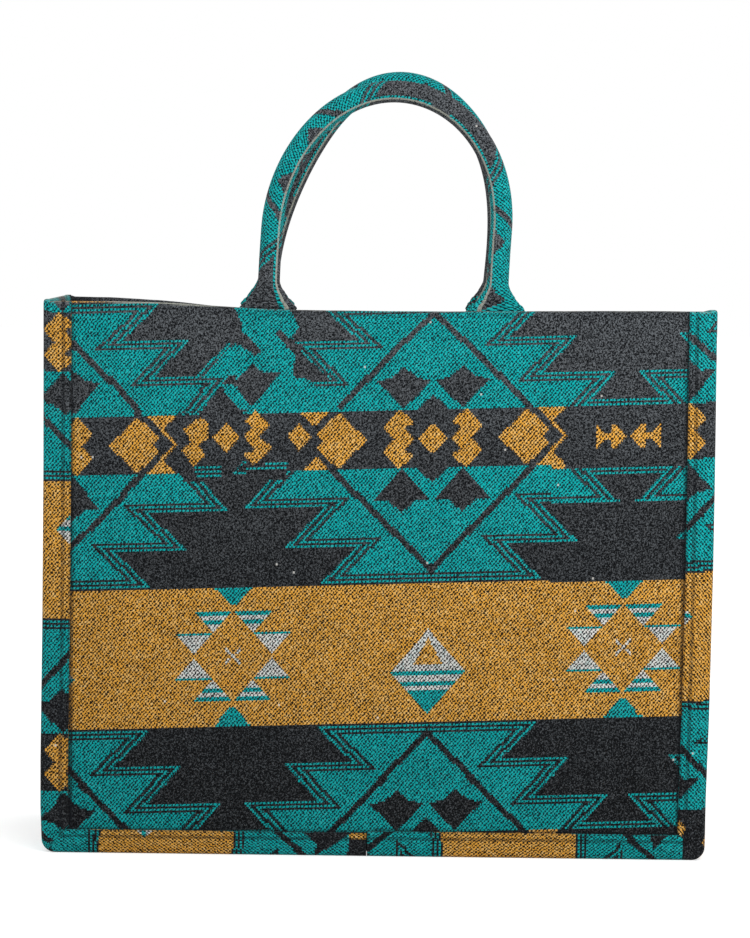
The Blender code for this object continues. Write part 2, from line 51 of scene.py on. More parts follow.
# Body of the bag
TOP_WIDTH = 0.410
BASE_WIDTH = 0.406
BODY_HEIGHT = 0.336
BODY_DEPTH = 0.155
CORNER_RADIUS = 0.008
BORDER_WIDTH = 0.017
BORDER_STITCH = 0.0047
BORDER_PUFF = 0.0004
GROOVE_WIDTH = 0.0009
GROOVE_DEPTH = 0.0006
PLEAT_WIDTH = 0.0011
LIP_WIDTH = 0.0016
LIP_DEPTH = 0.0007
RIM_PINCH = 0.0012
RIM_STITCH = 0.0030
RIM_STITCH_DEPTH = 0.00045
FOLD_RADIUS = 0.003
SEAM_X = -0.0042
SEAM_GAP = 0.00006
GUSSET_RISE = 0.001
CLOTH = 0.0020
LINING_CLOTH = 0.0008
BOARD = 0.0020
CLEARANCE = 0.0003
LINING_DROP = 0.003
LINING_CORNER = 0.008
LINING_STEP = 0.004
BULGE_MARGIN = 0.003
BULGE_SLOPE = 0.018
LINING_THREADS = 1600.0
HEM_DEPTH = 0.020
PANEL_INSET = 0.0045
HEM_RADIUS = CLOTH + CLEARANCE
PANEL_OFFSET = CLOTH + CLEARANCE
PANEL_BACK = PANEL_OFFSET + 2 * HEM_RADIUS
FOOT_OFFSET = PANEL_BACK + CLEARANCE
GUSSET_TOP = BODY_HEIGHT + GUSSET_RISE
LINING_SIDE = 2 * HEM_RADIUS + CLEARANCE
LINING_BOTTOM = CLOTH + 2 * CLEARANCE + BOARD

# Handles
HANDLE_DIAMETER = 0.0133
COVER_CLOTH = 0.0016
FOOT_WIDTH = 0.034
FOOT_THICKNESS = 0.0044
FOOT_DEPTH = 0.028
FLARE_HEIGHT = 0.016
FOOT_SQUARENESS = 0.5
HANDLE_SCALE = 0.96
HANDLE_SEAM_T = 30.0
HANDLE_SEAM_ANGLE = math.radians(-45.0)
SEAM_RIDGE = 0.00035
FRAY = 0.0004
ROPE_RADIUS = 0.0045
ROPE_SIDES = 16
COVER_WEAR = 0.7
PATTERN_DRIFT = 0.010
DRIFT_START = 0.050
DRIFT_LENGTH = 0.08
HANDLE_PLANE = BODY_DEPTH / 2 - FOOT_OFFSET - FOOT_THICKNESS / 2
HANDLES = {
    "front_handle": {"span": 0.1395, "rise": 0.1315, "leg_rise": 0.048, "centre": 0.00125, "lean": 0.0060,
                     "lean_rate": 1.0, "y": -HANDLE_PLANE, "diamond": 0.0945},
    "back_handle": {"span": 0.14535, "rise": 0.14274, "leg_rise": 0.0226, "centre": -0.00031, "lean": 0.01163,
                    "lean_rate": 1.226, "y": HANDLE_PLANE, "diamond": 0.1787},
}

# Stage
FLOOR_REACH = 12.0
LAMP_SIZE = (1.6, 1.2)
LAMP_AIM = (0.0, 0.0, 0.2)
SENSOR = 36.0

# Pattern: drawn in units, 393 to a repeat across, and woven in columns and rows of cells
REPEAT = 0.2385
COLUMN_REPEAT = 393.0
UNIT = REPEAT / COLUMN_REPEAT
STITCH = COLUMN_REPEAT / 205
PASS = 2.16
COLUMN = STITCH * UNIT
ROW = PASS * UNIT
DIAMOND_X = 0.0328
MOTIF_Z = 0.2571
ROW_SLOPE = 0.036
MOTIF_HALF = 13.5 * PASS
LOWER_FIELD = 54 * PASS
OCHRE_BAND = 64 * PASS
UPPER_FIELD = 51 * PASS
ROW_REPEAT = 2 * MOTIF_HALF + LOWER_FIELD + OCHRE_BAND + UPPER_FIELD
CHARCOAL, TEAL, OCHRE, ECRU = range(4)

# The two halves of a stepped diamond: passes down to each step, how far out each step starts, the rhombus's
# half-width and half-height, and how much wider its hearts are drawn
LOWER_HALF = {"steps": (17, 36, 53), "starts": (154.5, 107.0, 74.6), "rhombus": (130.3, 131.6),
              "spread": 1.03}
UPPER_HALF = {"steps": (16, 33, 50), "starts": (152.0, 108.4, 75.1), "rhombus": (127.0, 128.5),
              "spread": 1.0}
STEP_SLOPES = (0.94, 0.98, 1.0)
STEP_SLANT = 1.9
RHOMBUS_LINE = 0.033

# Stretches of the front, low end and high end, that the weave lowers by a pass: at the right and the left
RIGHT_DIPS = ((-80.0, -27.0), (-66.0, -31.0), (-195.0, -132.0))
LEFT_DIP = (-MOTIF_HALF - 26 * PASS, -MOTIF_HALF - 9 * PASS)

# Height of the rear rim against its nominal height, from the left end on, and where the rim's lifts and sags
# begin in height and width
REAR_RIM = ((-0.205, 0.0022), (-0.175, 0.0020), (-0.143, 0.0005), (-0.128, -0.0007), (-0.104, -0.0031),
            (-0.090, -0.0036), (-0.050, -0.0050))
REAR_SAG_FROM = 0.296
FRONT_SAG_FROM = 0.311
LEFT_LIFT_END = -0.150
LEFT_LIFT_FADE = 0.100
RIGHT_LIFT_REACH = 0.190

# Where a panel swells: up to this far out, from this height to that, and how softly it begins
SWELL_SIDE = 0.190
SWELL_LOW = 0.012
SWELL_TOP = BODY_HEIGHT - 0.002
SWELL_EASE = 0.05
SWELL_TOP_EASE = 0.06

# Rows and columns between the corners of a cloth's inner face
WALL_STRIDES = (8, 8)
COVER_STRIDES = (6, 5)
LINING_STRIDES = (4, 8)

# The gusset strips: way down the strip against the pattern's height, against how far the pattern's axis lies
# from the front fold, and against how far the side swells; last the border's width under the bag
STRIPS = {
    "gusset_left": {
        "side": -1, "seam": -SEAM_X + SEAM_GAP / 2,
        "rows": ((0.0, -41.0), (0.34, 519.1), (0.3682, 559.5), (0.3954, 608.6), (0.5249, 821.9)),
        "edge": ((0.0, 49.0), (0.025, 50.0), (0.13, 53.0), (0.20, 50.0), (0.28, 54.0), (0.39, 57.5),
                 (0.54, 58.5)),
        "swell": ((0.10, 0.0), (0.20, 0.0006), (0.28, 0.0016), (0.31, 0.0016), (0.345, 0.0004)),
        "base": 0.0144,
    },
    "gusset_right": {
        "side": 1, "seam": SEAM_X + SEAM_GAP / 2,
        "rows": ((0.0, -122.6), (0.0568, -29.2), (0.0909, 29.2), (0.1604, 139.3), (0.2391, 277.5),
                 (0.3060, 394.2), (0.3505, 456.0), (0.4152, 564.3), (0.4966, 702.2), (0.5662, 818.6)),
        "edge": ((0.0, 61.0), (0.072, 60.0), (0.19, 58.0), (0.26, 64.0), (0.32, 69.7), (0.5, 69.5)),
        "swell": ((0.02, 0.0), (0.10, 0.0008), (0.16, 0.0011), (0.25, 0.0008), (0.30, 0.0)),
        "base": 0.0154,
    },
}
STRIP_SLOPE = 0.03

# The weaver's slip between two diamonds of the front: what lies there, drawn from the diamond's axis
SLIP = (
    (CHARCOAL, [(-256, -29.1), (-256, 29.1), (-117, 29.1), (-117, -29.1)]),
    (OCHRE, [(-233.7, 27), (-224.4, 19), (-224.3, 7), (-234.9, -1.5), (-228.7, -11.6), (-239.3, -22.9),
             (-251.8, -6.4), (-242.6, 2.6), (-250.4, 14.3)]),
    (OCHRE, [(-207, 20), (-193.5, 5.3), (-207.2, -9), (-221.7, 5.9)]),
    (OCHRE, [(-134, 29.1), (-103.5, 29.1), (-119.2, 15)]),
    (OCHRE, [(-130, -29.1), (-115.8, -16), (-103.5, -29.1)]),
    (TEAL, [(-146.5, 140), (-199.5, 140), (-199.5, 135), (-193, 120), (-193, 113), (-173, 92), (-178, 87),
            (-196, 99), (-204, 100), (-236, 67), (-198, 67), (-198, 56), (-187, 36), (-187, 29.1),
            (-92, 29.1), (-126, 62), (-139, 62), (-138, 92), (-142, 106), (-136, 116.5)]),
    (CHARCOAL, [(-126, 62), (-141, 67), (-139, 90), (-136.5, 93), (-104, 62)]),
    (CHARCOAL, [(-159, 109.5), (-154, 113.8), (-146, 106), (-142, 103), (-134, 93), (-134, 87), (-140, 88),
                (-147, 94), (-152, 101)]),
    (CHARCOAL, [(-195, 114), (-188.4, 109), (-179, 98), (-173, 92), (-179, 87.5), (-182, 90), (-188.5, 98.5),
                (-196, 103)]),
    (CHARCOAL, [(-236, 66), (-233, 66), (-200, 100.5), (-203, 100.5)]),
    (TEAL, [(-240, 66), (-236, 66), (-203, 100.5), (-207, 100.5)]),
    (CHARCOAL, [(-181.5, 79.5), (-172, 71), (-154, 69), (-180, 38), (-184, 38), (-198, 55.5), (-200, 61),
                (-189, 72)]),
    (TEAL, [(-214, 60), (-197, 58), (-195.5, 50), (-181, 33), (-194.6, 33), (-208.7, 50)]),
    (CHARCOAL, [(-208.6, 51), (-236, 30), (-190, 29.1)]),
    (OCHRE, [(-178.7, 34.1), (-163, 17.3), (-174.8, 5.6), (-160, -5.5), (-180.6, -23.5), (-189.5, -11),
             (-178.8, -8.1), (-189.7, 7.5), (-181.4, 15), (-188.4, 22.1)]),
    (OCHRE, [(-146, 7), (-133.4, 18.5), (-122, 3.6), (-133.6, -10)]),
    (CHARCOAL, [(-250, -37), (-250, -29.1), (-146, -29.1), (-146, -37)]),
    (TEAL, [(-239, -25.5), (-239, -23.4), (-212, -23.4), (-212, -25.5)]),
    (TEAL, [(-239, -29.9), (-239, -27.8), (-212, -27.8), (-212, -29.9)]),
    (TEAL, [(-237, -34.2), (-237, -32.1), (-212, -32.1), (-212, -34.2)]),
    (TEAL, [(-201, -30), (-190, -18), (-186.5, -18), (-197.5, -30)]),
    (TEAL, [(-200, -32.2), (-200, -30), (-186, -30), (-186, -32.2)]),
    (TEAL, [(-187, -27.9), (-187, -25.7), (-146, -25.7), (-146, -27.9)]),
    (TEAL, [(-168, -23.5), (-168, -21.3), (-145, -21.3), (-145, -23.5)]),
)


# Pattern drawing

def inside(p, q, corners):
    """Which points lie inside a polygon."""
    hit = np.zeros(p.shape, bool)
    for (p0, q0), (p1, q1) in zip(corners, corners[1:] + corners[:1]):
        if q0 != q1:
            crossing = (q0 > q) != (q1 > q)
            hit ^= crossing & (p < p0 + (q - q0) * (p1 - p0) / (q1 - q0))
    return hit


def between(values, low, high):
    """Which values lie between two others."""
    return (values > low) & (values < high)


def stair_depth(reach, t, half):
    """How many passes deep a point lies inside the stepped outline of a half-diamond, negative outside it."""
    steps = [count * PASS for count in half["steps"]]
    floors = (0.0, *steps[:2])
    edges = [(start + (t - low) * slope - reach) / STEP_SLANT
             for start, low, slope in zip(half["starts"], floors, STEP_SLOPES)]
    depth = np.full(reach.shape, -1.0)
    for number, (low, high) in enumerate(zip(floors, steps)):
        ceiling = high - t
        if number < 2:
            ceiling = np.maximum(ceiling, edges[number + 1])
        here = (t >= low) & (t < high)
        depth = np.where(here, np.minimum(edges[number], ceiling), depth)
    return depth / PASS


def field_yarns(p, t, half):
    """Yarns of a teal stepped half-diamond on charcoal, from the motif row's edge outward."""
    reach = np.abs(p)
    depth = stair_depth(reach, t, half)
    side, tip = half["rhombus"]
    spread = half["spread"]
    yarns = np.full(p.shape, CHARCOAL)
    lines = (depth >= 0) & ((depth < 1.0) | ((depth >= 2.0) & (depth < 3.0)) | (depth >= 4.0))
    yarns[lines] = TEAL
    joining = (depth < 0) & ((t < PASS) | ((t >= 2 * PASS) & (t < 3 * PASS)))
    yarns[joining] = TEAL
    rhombus = reach / side + (t + MOTIF_HALF) / tip
    yarns[np.abs(rhombus - 1.0) < RHOMBUS_LINE] = CHARCOAL
    heart = [(29.5, 0.5), (57.5, 31), (43.3, 31.5), (29.5, 43.6), (15.7, 31.5), (1.5, 31)]
    wedge = [(-1.0, -1.0), (17.0, -1.0), (0.0, 15.5), (-1.0, 15.5)]
    yarns[inside(reach / spread, t / spread, heart) | inside(reach, t, wedge)] = CHARCOAL
    return yarns


def motif_yarns(p, q):
    """Yarns of the charcoal row with its ochre figures."""
    reach = np.abs(p)
    rise = np.abs(q)
    figures = [
        [(-15.0, 0.0), (0.0, -15.0), (15.0, 0.0), (0.0, 15.0)],
        [(18.0, 0.0), (28.2, 11.5), (18.5, 16.0), (33.5, 30.0), (50.5, 11.5), (38.0, 0.0), (38.0, -1.0),
         (18.0, -1.0)],
        [(65.9, -1.0), (65.9, 0.0), (94.5, 28.5), (116.2, 7.6), (110.0, 0.0), (110.0, -1.0)],
        [(103.5, 30.0), (134.5, 30.0), (119.0, 14.0)],
        [(119.0, 17.0), (136.0, 0.0), (136.0, -1.0), (131.5, -1.0), (131.5, 0.0), (118.0, 13.0)],
        [(163.0, -1.0), (163.0, 13.0), (177.0, 0.0), (177.0, -1.0)],
        [(175.0, -1.0), (175.0, 3.0), (181.0, 3.0), (181.0, -1.0)],
        [(179.5, -1.0), (179.5, 13.0), (183.5, 11.5), (195.5, 0.0), (195.5, -1.0)],
    ]
    yarns = np.full(p.shape, CHARCOAL)
    for number, figure in enumerate(figures):
        height = rise if number < 5 else np.abs(q + 2.0)
        yarns[inside(reach, height, figure)] = OCHRE
    return yarns


def band_yarns(p, q):
    """Yarns of the ochre band: stars between the diamonds, lozenges under them, q from the band's middle."""
    yarns = np.full(p.shape, OCHRE)
    star = COLUMN_REPEAT / 2 - np.abs(p)
    rise = np.abs(q)
    edge = OCHRE_BAND / 2
    yarns[inside(star, rise, [(-1.0, 50.0), (0.0, 50.0), (19.5, edge), (-1.0, edge)])] = TEAL
    striped = inside(star, rise, [(1.5, 45.8), (39.5, 45.8), (20.2, 24.5)])
    stripe = ((rise > 41.5) | ((rise > 31.5) & (rise < 36.5)))
    yarns[striped] = ECRU
    yarns[striped & stripe] = TEAL
    outer = inside(star, rise, [(20.5, 23.5), (58.5, 23.5), (39.2, 1.5)])
    yarns[outer] = ECRU
    yarns[outer & (rise > 21.3)] = TEAL
    yarns[(np.abs(star - rise) < 1.7) & (star < 8.0)] = ECRU
    low = q + 21.0
    reach = np.abs(p)
    upper = inside(reach, low, [(-1.0, 0.0), (37.0, 0.0), (0.0, 44.0), (-1.0, 44.0)])
    window = inside(reach, low, [(-1.0, 8.5), (14.5, 8.5), (0.0, 35.5), (-1.0, 35.5)])
    lower = inside(reach, low, [(-1.0, 2.0), (37.0, 2.0), (37.0, -1.0), (0.0, -41.5), (-1.0, -41.5)])
    yarns[upper & ~window] = ECRU
    yarns[lower] = TEAL
    white = ((low < -3.6) & (low > -8.6)) | ((low < -13.6) & (low > -18.0))
    yarns[lower & white] = ECRU
    return yarns


def pattern_yarns(p, q):
    """Yarn at each point of the cloth, p across from a diamond's axis and q up from a motif row's middle."""
    p = (p + COLUMN_REPEAT / 2) % COLUMN_REPEAT - COLUMN_REPEAT / 2
    q = (q - MOTIF_HALF) % ROW_REPEAT + MOTIF_HALF - ROW_REPEAT
    band_top = -MOTIF_HALF - LOWER_FIELD
    band_low = band_top - OCHRE_BAND
    yarns = motif_yarns(p, q)
    lower = field_yarns(p, -q - MOTIF_HALF, LOWER_HALF)
    upper = field_yarns(p, q + ROW_REPEAT - MOTIF_HALF, UPPER_HALF)
    band = band_yarns(p, q - (band_top + band_low) / 2)
    yarns = np.where(q < -MOTIF_HALF, lower, yarns)
    yarns = np.where(q < band_top, band, yarns)
    return np.where(q < band_low, upper, yarns)


def front_yarns(p, q):
    """Yarns of the front: the pattern as the weave pulls it about, with the weaver's slip over it."""
    band_top = -MOTIF_HALF - LOWER_FIELD
    band_low = band_top - OCHRE_BAND
    half = COLUMN_REPEAT / 2
    left = p < -half
    right = p > half
    middle = np.abs(p) < half
    above = left * smooth_step((q - MOTIF_HALF) / 6.0)
    aside = (2.0 + (q > 105.0)) * above * smooth_step((p + COLUMN_REPEAT) / 100.0)
    aside = aside - right * (2.0 * (q > MOTIF_HALF) + 4.0 * (q < band_low - 12.0))
    aside = aside + 1.0 * left * (np.abs(q) < MOTIF_HALF)
    aside = aside - between(q, band_low, band_top) - 1.0 * middle * (q <= band_low)
    lifted = np.round(2.0 * above * smooth_step((q - MOTIF_HALF) / 35.0)) - above * (q > 120.0)
    lowered = 1.0 * (q < band_low + 5.0) + (q < band_low - 58.0) + left * between(q, *LEFT_DIP)
    for low, high in RIGHT_DIPS:
        lowered = lowered + (p > 120.0) * between(q, low, high)
    yarns = pattern_yarns(p - np.round(aside) * STITCH, q - lifted * PASS + lowered * PASS)
    for yarn, corners in SLIP:
        yarns[inside(p, q, corners)] = yarn
    return yarns


# Cloth meshes

def smooth_step(value):
    """Ease from 0 to 1."""
    value = np.clip(value, 0.0, 1.0)
    return value * value * (3.0 - 2.0 * value)


def bell(distance, width):
    """Soft ridge that is 1 where the distance is 0."""
    return np.exp(-(distance / width) ** 2)


def half_width(z):
    """Half the outer width of the bag at a height."""
    return (BASE_WIDTH + (TOP_WIDTH - BASE_WIDTH) * z / BODY_HEIGHT) / 2


def inner_stops(outer, strides, extra_rows=(), extra_columns=()):
    """Rows and columns at which a cloth's inner face has corners."""
    stops = []
    for count, stride, extra in zip(outer.shape, strides, (extra_rows, extra_columns)):
        stops.append(sorted({*range(0, count - 1, stride), count - 1, *extra}))
    return stops


def linked(name, content):
    """Object of that name in the scene."""
    item = bpy.data.objects.new(name, content)
    bpy.context.scene.collection.objects.link(item)
    return item


def woven_solid(name, outer, inner, yarns, row_stops, column_stops, kept=None, tube=False, shade=None):
    """Closed cloth from a grid of points, with every woven cell on its outer face.

    outer and inner hold the points of the two faces by row and column. The inner face and the cut
    edges have corners only at the stops, and kept says which blocks between the stops are there.
    """
    rows, columns = outer.shape[:2]
    if kept is None:
        kept = np.ones((len(row_stops) - 1, len(column_stops) - 1), bool)
    width = columns - 1 if tube else columns
    inner_width = len(column_stops) - 1 if tube else len(column_stops)
    first_inner = rows * width

    def top(r, c):
        return r * width + (c % width if tube else c)

    def under(a, b):
        return first_inner + a * inner_width + (b % inner_width if tube else b)

    cells = np.zeros((rows - 1, columns - 1), bool)
    for a, b in zip(*np.nonzero(kept)):
        cells[row_stops[a]:row_stops[a + 1], column_stops[b]:column_stops[b + 1]] = True
    r, c = np.nonzero(cells)
    faces = np.stack([top(r, c), top(r, c + 1), top(r + 1, c + 1), top(r + 1, c)], 1).tolist()
    places = np.stack([np.stack([c, r], 1), np.stack([c + 1, r], 1), np.stack([c + 1, r + 1], 1),
                       np.stack([c, r + 1], 1)], 1).reshape(-1, 2).astype(float)
    codes = np.repeat(yarns[r, c], 4)
    darkness = np.repeat(np.zeros(len(r)) if shade is None else shade[r, c], 4)

    # In the bake's square the outer face fills the lower part, with the inner face and the walls above it
    bake_scale = 1.0 / max(columns - 1, (rows - 1) / 0.94)
    bake = places * bake_scale
    extra_faces, extra_places, extra_bake, extra_codes = [], [], [], []

    def add_face(corners, spots, bake_spots, code):
        extra_faces.append(corners)
        extra_places.extend(spots)
        extra_bake.extend(bake_spots)
        extra_codes.extend([code] * len(corners))

    def bake_inner(a, b):
        return (0.47 * b / (len(column_stops) - 1), 0.952 + 0.046 * a / (len(row_stops) - 1))

    walls = []
    for a, b in zip(*np.nonzero(kept)):
        r0, r1, c0, c1 = row_stops[a], row_stops[a + 1], column_stops[b], column_stops[b + 1]
        code = yarns[(r0 + r1) // 2, (c0 + c1) // 2]
        ring = [(a, b), (a + 1, b), (a + 1, b + 1), (a, b + 1)]
        add_face([under(*at) for at in ring], [(column_stops[y], row_stops[x]) for x, y in ring],
                 [bake_inner(*at) for at in ring], code)
        last_a, last_b = len(row_stops) - 2, len(column_stops) - 2
        if a == 0 or not kept[a - 1, b]:
            walls.append(([(r0, at) for at in range(c0, c1 + 1)], [(a, b + 1), (a, b)], code))
        if a == last_a or not kept[a + 1, b]:
            walls.append(([(r1, at) for at in range(c1, c0 - 1, -1)], [(a + 1, b), (a + 1, b + 1)], code))
        if not tube and (b == 0 or not kept[a, b - 1]):
            walls.append(([(at, c0) for at in range(r1, r0 - 1, -1)], [(a, b), (a + 1, b)], code))
        if not tube and (b == last_b or not kept[a, b + 1]):
            walls.append(([(at, c1) for at in range(r0, r1 + 1)], [(a + 1, b + 1), (a, b + 1)], code))
    for number, (edge, back, code) in enumerate(walls):
        left = 0.5 + 0.49 * number / len(walls)
        step = 0.45 / len(walls) / (len(edge) - 1)
        spots = [(at_c, at_r) for at_r, at_c in edge] + [(column_stops[y], row_stops[x]) for x, y in back]
        bake_spots = [(left + step * index, 0.955) for index in range(len(edge))]
        bake_spots += [(left + step * (len(edge) - 1), 0.99), (left, 0.99)]
        corners = [top(at_r, at_c) for at_r, at_c in edge] + [under(*at) for at in back]
        add_face(corners[::-1], spots[::-1], bake_spots[::-1], code)

    flat_faces = len(extra_faces)
    inner_grid = inner[np.ix_(row_stops, column_stops)][:, :inner_width]
    points = np.concatenate([outer[:, :width].reshape(-1, 3), inner_grid.reshape(-1, 3)])
    mesh = bpy.data.meshes.new(name)
    mesh.from_pydata(points.tolist(), [], faces + extra_faces)
    smooth = np.ones(len(mesh.polygons), bool)
    smooth[len(mesh.polygons) - flat_faces:] = False
    mesh.polygons.foreach_set("use_smooth", smooth)
    weave = mesh.uv_layers.new(name="Weave")
    weave.data.foreach_set("uv", np.concatenate([places, np.array(extra_places, float)]).ravel())
    unwrap = mesh.uv_layers.new(name="OFBake")
    unwrap.data.foreach_set("uv", np.concatenate([bake, np.array(extra_bake, float)]).ravel())
    codes = np.concatenate([codes, np.array(extra_codes)])
    darkness = np.concatenate([darkness, np.zeros(len(extra_codes))])
    # The colour's alpha is each cell's darkness: painted shade below 1, and above 1 wear on the handles'
    # seams and painted highlights on fold tops
    colour = np.stack([codes == TEAL, codes == OCHRE, codes == ECRU, 1.0 - darkness], 1).astype(float)
    draft_wear_and_painted_light = mesh.color_attributes.new("draft_wear_and_painted_light", "FLOAT_COLOR", "CORNER")
    draft_wear_and_painted_light.data.foreach_set("color", colour.ravel())
    sheet = bmesh.new()
    sheet.from_mesh(mesh)
    bmesh.ops.remove_doubles(sheet, verts=sheet.verts, dist=2e-6)
    bmesh.ops.dissolve_degenerate(sheet, dist=1e-7, edges=sheet.edges)
    bmesh.ops.delete(sheet, geom=[v for v in sheet.verts if not v.link_faces], context="VERTS")
    bmesh.ops.recalc_face_normals(sheet, faces=sheet.faces)
    sheet.to_mesh(mesh)
    sheet.free()
    mesh.uv_layers.active = mesh.uv_layers["OFBake"]
    return linked(name, mesh)


def dress(item, material, slot, *nodes):
    """Give a piece its material and place it on the frame."""
    item.data.materials.append(material)
    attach(item, "root")
    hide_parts(*nodes)


def unevenness(x, z, seed):
    """Slow swells of soft cloth, about -1 to 1."""
    turn = seed * 1.7
    return (np.sin(x * 41 + z * 23 + turn) + np.sin(x * -67 + z * 52 + 2.1 * turn)
            + 0.6 * np.sin(x * 115 + z * 95 + 3.3 * turn) + 0.5 * np.sin(x * 31 - z * 140 + turn)) / 3.1


def rim_sag(x, y, z, props):
    """How much higher the rim stands at a place than its nominal height."""
    to_back = smooth_step(y / BODY_DEPTH + 0.5)
    rear = props.rear_sag * np.interp(x, *zip(*REAR_RIM))
    left = 1.0 - smooth_step((x - LEFT_LIFT_END) / LEFT_LIFT_FADE)
    right = smooth_step(x / RIGHT_LIFT_REACH)
    front = props.left_lift * left + props.right_lift * right - props.front_sag * (1.0 - left - right)
    rear_share = smooth_step((z - REAR_SAG_FROM) / (BODY_HEIGHT - REAR_SAG_FROM))
    front_share = smooth_step((z - FRONT_SAG_FROM) / (BODY_HEIGHT - FRONT_SAG_FROM))
    return rear_share * to_back * rear + front_share * (1.0 - to_back) * front


def panel_faces(side, props):
    """Outer and inner points of a panel and its yarns; side is -1 for the front."""
    half = half_width(BODY_HEIGHT) - PANEL_INSET
    first = math.floor((-half - DIAMOND_X) / COLUMN)
    last = math.ceil((half - DIAMOND_X) / COLUMN)
    across = DIAMOND_X + (np.arange(first, last + 1) + 0.5) * COLUMN
    hem_end = BODY_HEIGHT - HEM_RADIUS + math.pi * HEM_RADIUS + HEM_DEPTH
    low = math.floor((PANEL_INSET - MOTIF_Z - ROW_SLOPE * half) / ROW) - 2
    high = math.ceil((hem_end - MOTIF_Z + ROW_SLOPE * half) / ROW) + 2
    up = MOTIF_Z + (np.arange(low, high + 1) + 0.5) * ROW
    x, w = np.meshgrid(across, up)
    w = np.clip(w + ROW_SLOPE * (x - DIAMOND_X), PANEL_INSET, hem_end)
    limit = half_width(np.minimum(w, BODY_HEIGHT)) - PANEL_INSET
    x = np.clip(x, -limit, limit)
    used = np.nonzero((w > PANEL_INSET).any(1) & (w < hem_end).any(1))[0]
    rows = slice(used[0] - 1, used[-1] + 2)
    x, w = x[rows], w[rows]
    fold = BODY_HEIGHT - HEM_RADIUS
    turn = w - fold
    angle = np.clip(turn / HEM_RADIUS, 0.0, math.pi)
    beyond = np.maximum(turn - math.pi * HEM_RADIUS, 0.0)
    front = -BODY_DEPTH / 2 + PANEL_OFFSET
    swell = smooth_step((SWELL_SIDE - np.abs(x)) / SWELL_EASE) * smooth_step((w - SWELL_LOW) / SWELL_EASE)
    swell = swell * smooth_step((SWELL_TOP - w) / SWELL_TOP_EASE)
    puff = swell * (props.panel_puff + props.unevenness * unevenness(x, w, side))
    puff = puff - RIM_STITCH_DEPTH * bell(w - (BODY_HEIGHT - RIM_STITCH), 0.0007) * (turn < 0)
    y = front + HEM_RADIUS * (1 - np.cos(angle)) - puff
    z = np.where(turn < 0, w, fold + HEM_RADIUS * np.sin(angle)) - beyond
    normal_y = -np.cos(angle)
    normal_z = np.sin(angle)
    outer = np.stack([x, y, z], 2)
    inner = np.stack([x, y - CLOTH * normal_y, z - CLOTH * normal_z], 2)
    for points in (outer, inner):
        if side > 0:
            points[..., 0] *= -1
            points[..., 1] *= -1
        points[..., 2] += rim_sag(points[..., 0], points[..., 1], points[..., 2], props)
    middle_x = (across[:-1] + across[1:]) / 2
    row_middle = (up[rows][:-1] + up[rows][1:]) / 2
    p, q = np.meshgrid((middle_x - DIAMOND_X) / UNIT, (row_middle - MOTIF_Z) / UNIT)
    cell_x, cell_w = cell_middles(x), cell_middles(w)
    from_side = half_width(np.minimum(cell_w, BODY_HEIGHT)) - np.abs(cell_x)
    inset = np.minimum(from_side, cell_w)
    base = np.where(cell_x * side < 0, STRIPS["gusset_right"]["base"], STRIPS["gusset_left"]["base"])
    border = np.where(cell_w < from_side, base, BORDER_WIDTH)
    # Painted shadow on the panel along the border's inner edge, where the border stands proud of it
    seam = 0.85 * bell(np.maximum(inset - border, 0.0), 0.0014)
    # Painted shade dotted stitch by stitch along the rim's stitch groove
    stitched = np.arange(cell_x.shape[1]) % 3 != 0
    stitch_groove_shade = 0.65 * bell(cell_w - (BODY_HEIGHT - 0.0034), 0.0008) * stitched
    # Painted shade in a row just under the rim's fold
    fold_shade = 0.4 * bell(cell_w - (BODY_HEIGHT - 0.0012), 0.0006)
    # Painted highlight along the top of the rim's fold, faint all along and strongest over a stretch near the
    # left end
    pale = 0.15 + 0.85 * smooth_step((-0.095 - cell_x) / 0.02) * smooth_step((cell_x + 0.172) / 0.012)
    pale = pale * bell(cell_w - (fold + HEM_RADIUS * 1.25), 0.0013)
    return outer, inner, p, q, np.maximum(seam, stitch_groove_shade + fold_shade) - pale


def cell_middles(values):
    """Mean of a quantity over the four corners of each cell."""
    return (values[:-1, :-1] + values[1:, :-1] + values[:-1, 1:] + values[1:, 1:]) / 4


def strip_place(along, inset):
    """Width, height and outward turn of a gusset point, from its way along the strip and its inset."""
    quarter = math.pi / 2 * HEM_RADIUS
    fold = GUSSET_TOP - HEM_RADIUS
    down = along - quarter
    z_side = fold - down
    corner_turn = down - (fold - CORNER_RADIUS)
    centre = half_width(0.0) - CORNER_RADIUS
    reach = CORNER_RADIUS - inset
    bend = np.clip(corner_turn / CORNER_RADIUS, 0.0, math.pi / 2)
    on_side = [half_width(z_side) - inset, np.maximum(z_side, inset)]
    tight = reach <= 0.0
    in_corner = [np.where(tight, half_width(0.0) - inset, centre + reach * np.cos(bend)),
                 np.where(tight, inset, CORNER_RADIUS - reach * np.sin(bend))]
    past = corner_turn - CORNER_RADIUS * math.pi / 2
    on_base = [np.minimum(centre - past, half_width(0.0) - inset), inset + 0.0 * past]
    rim_angle = np.clip(math.pi / 2 - along / HEM_RADIUS, 0.0, math.pi)
    rim_reach = HEM_RADIUS - inset
    rim_centre = half_width(fold) - HEM_RADIUS
    over_rim = [rim_centre + rim_reach * np.cos(rim_angle), fold + rim_reach * np.sin(rim_angle)]
    in_hem = [half_width(fold) - 2 * HEM_RADIUS + inset, fold + quarter + along + 0.0 * inset]
    zones = [along < -quarter, along < quarter, corner_turn <= 0.0, past < 0.0]
    x = np.select(zones, [in_hem[0], over_rim[0], on_side[0], in_corner[0]], on_base[0])
    z = np.select(zones, [in_hem[1], over_rim[1], on_side[1], in_corner[1]], on_base[1])
    turn = np.select(zones, [math.pi + 0.0 * along, rim_angle, 0.0 * along, -bend],
                     -math.pi / 2 + 0.0 * along)
    return x, z, turn


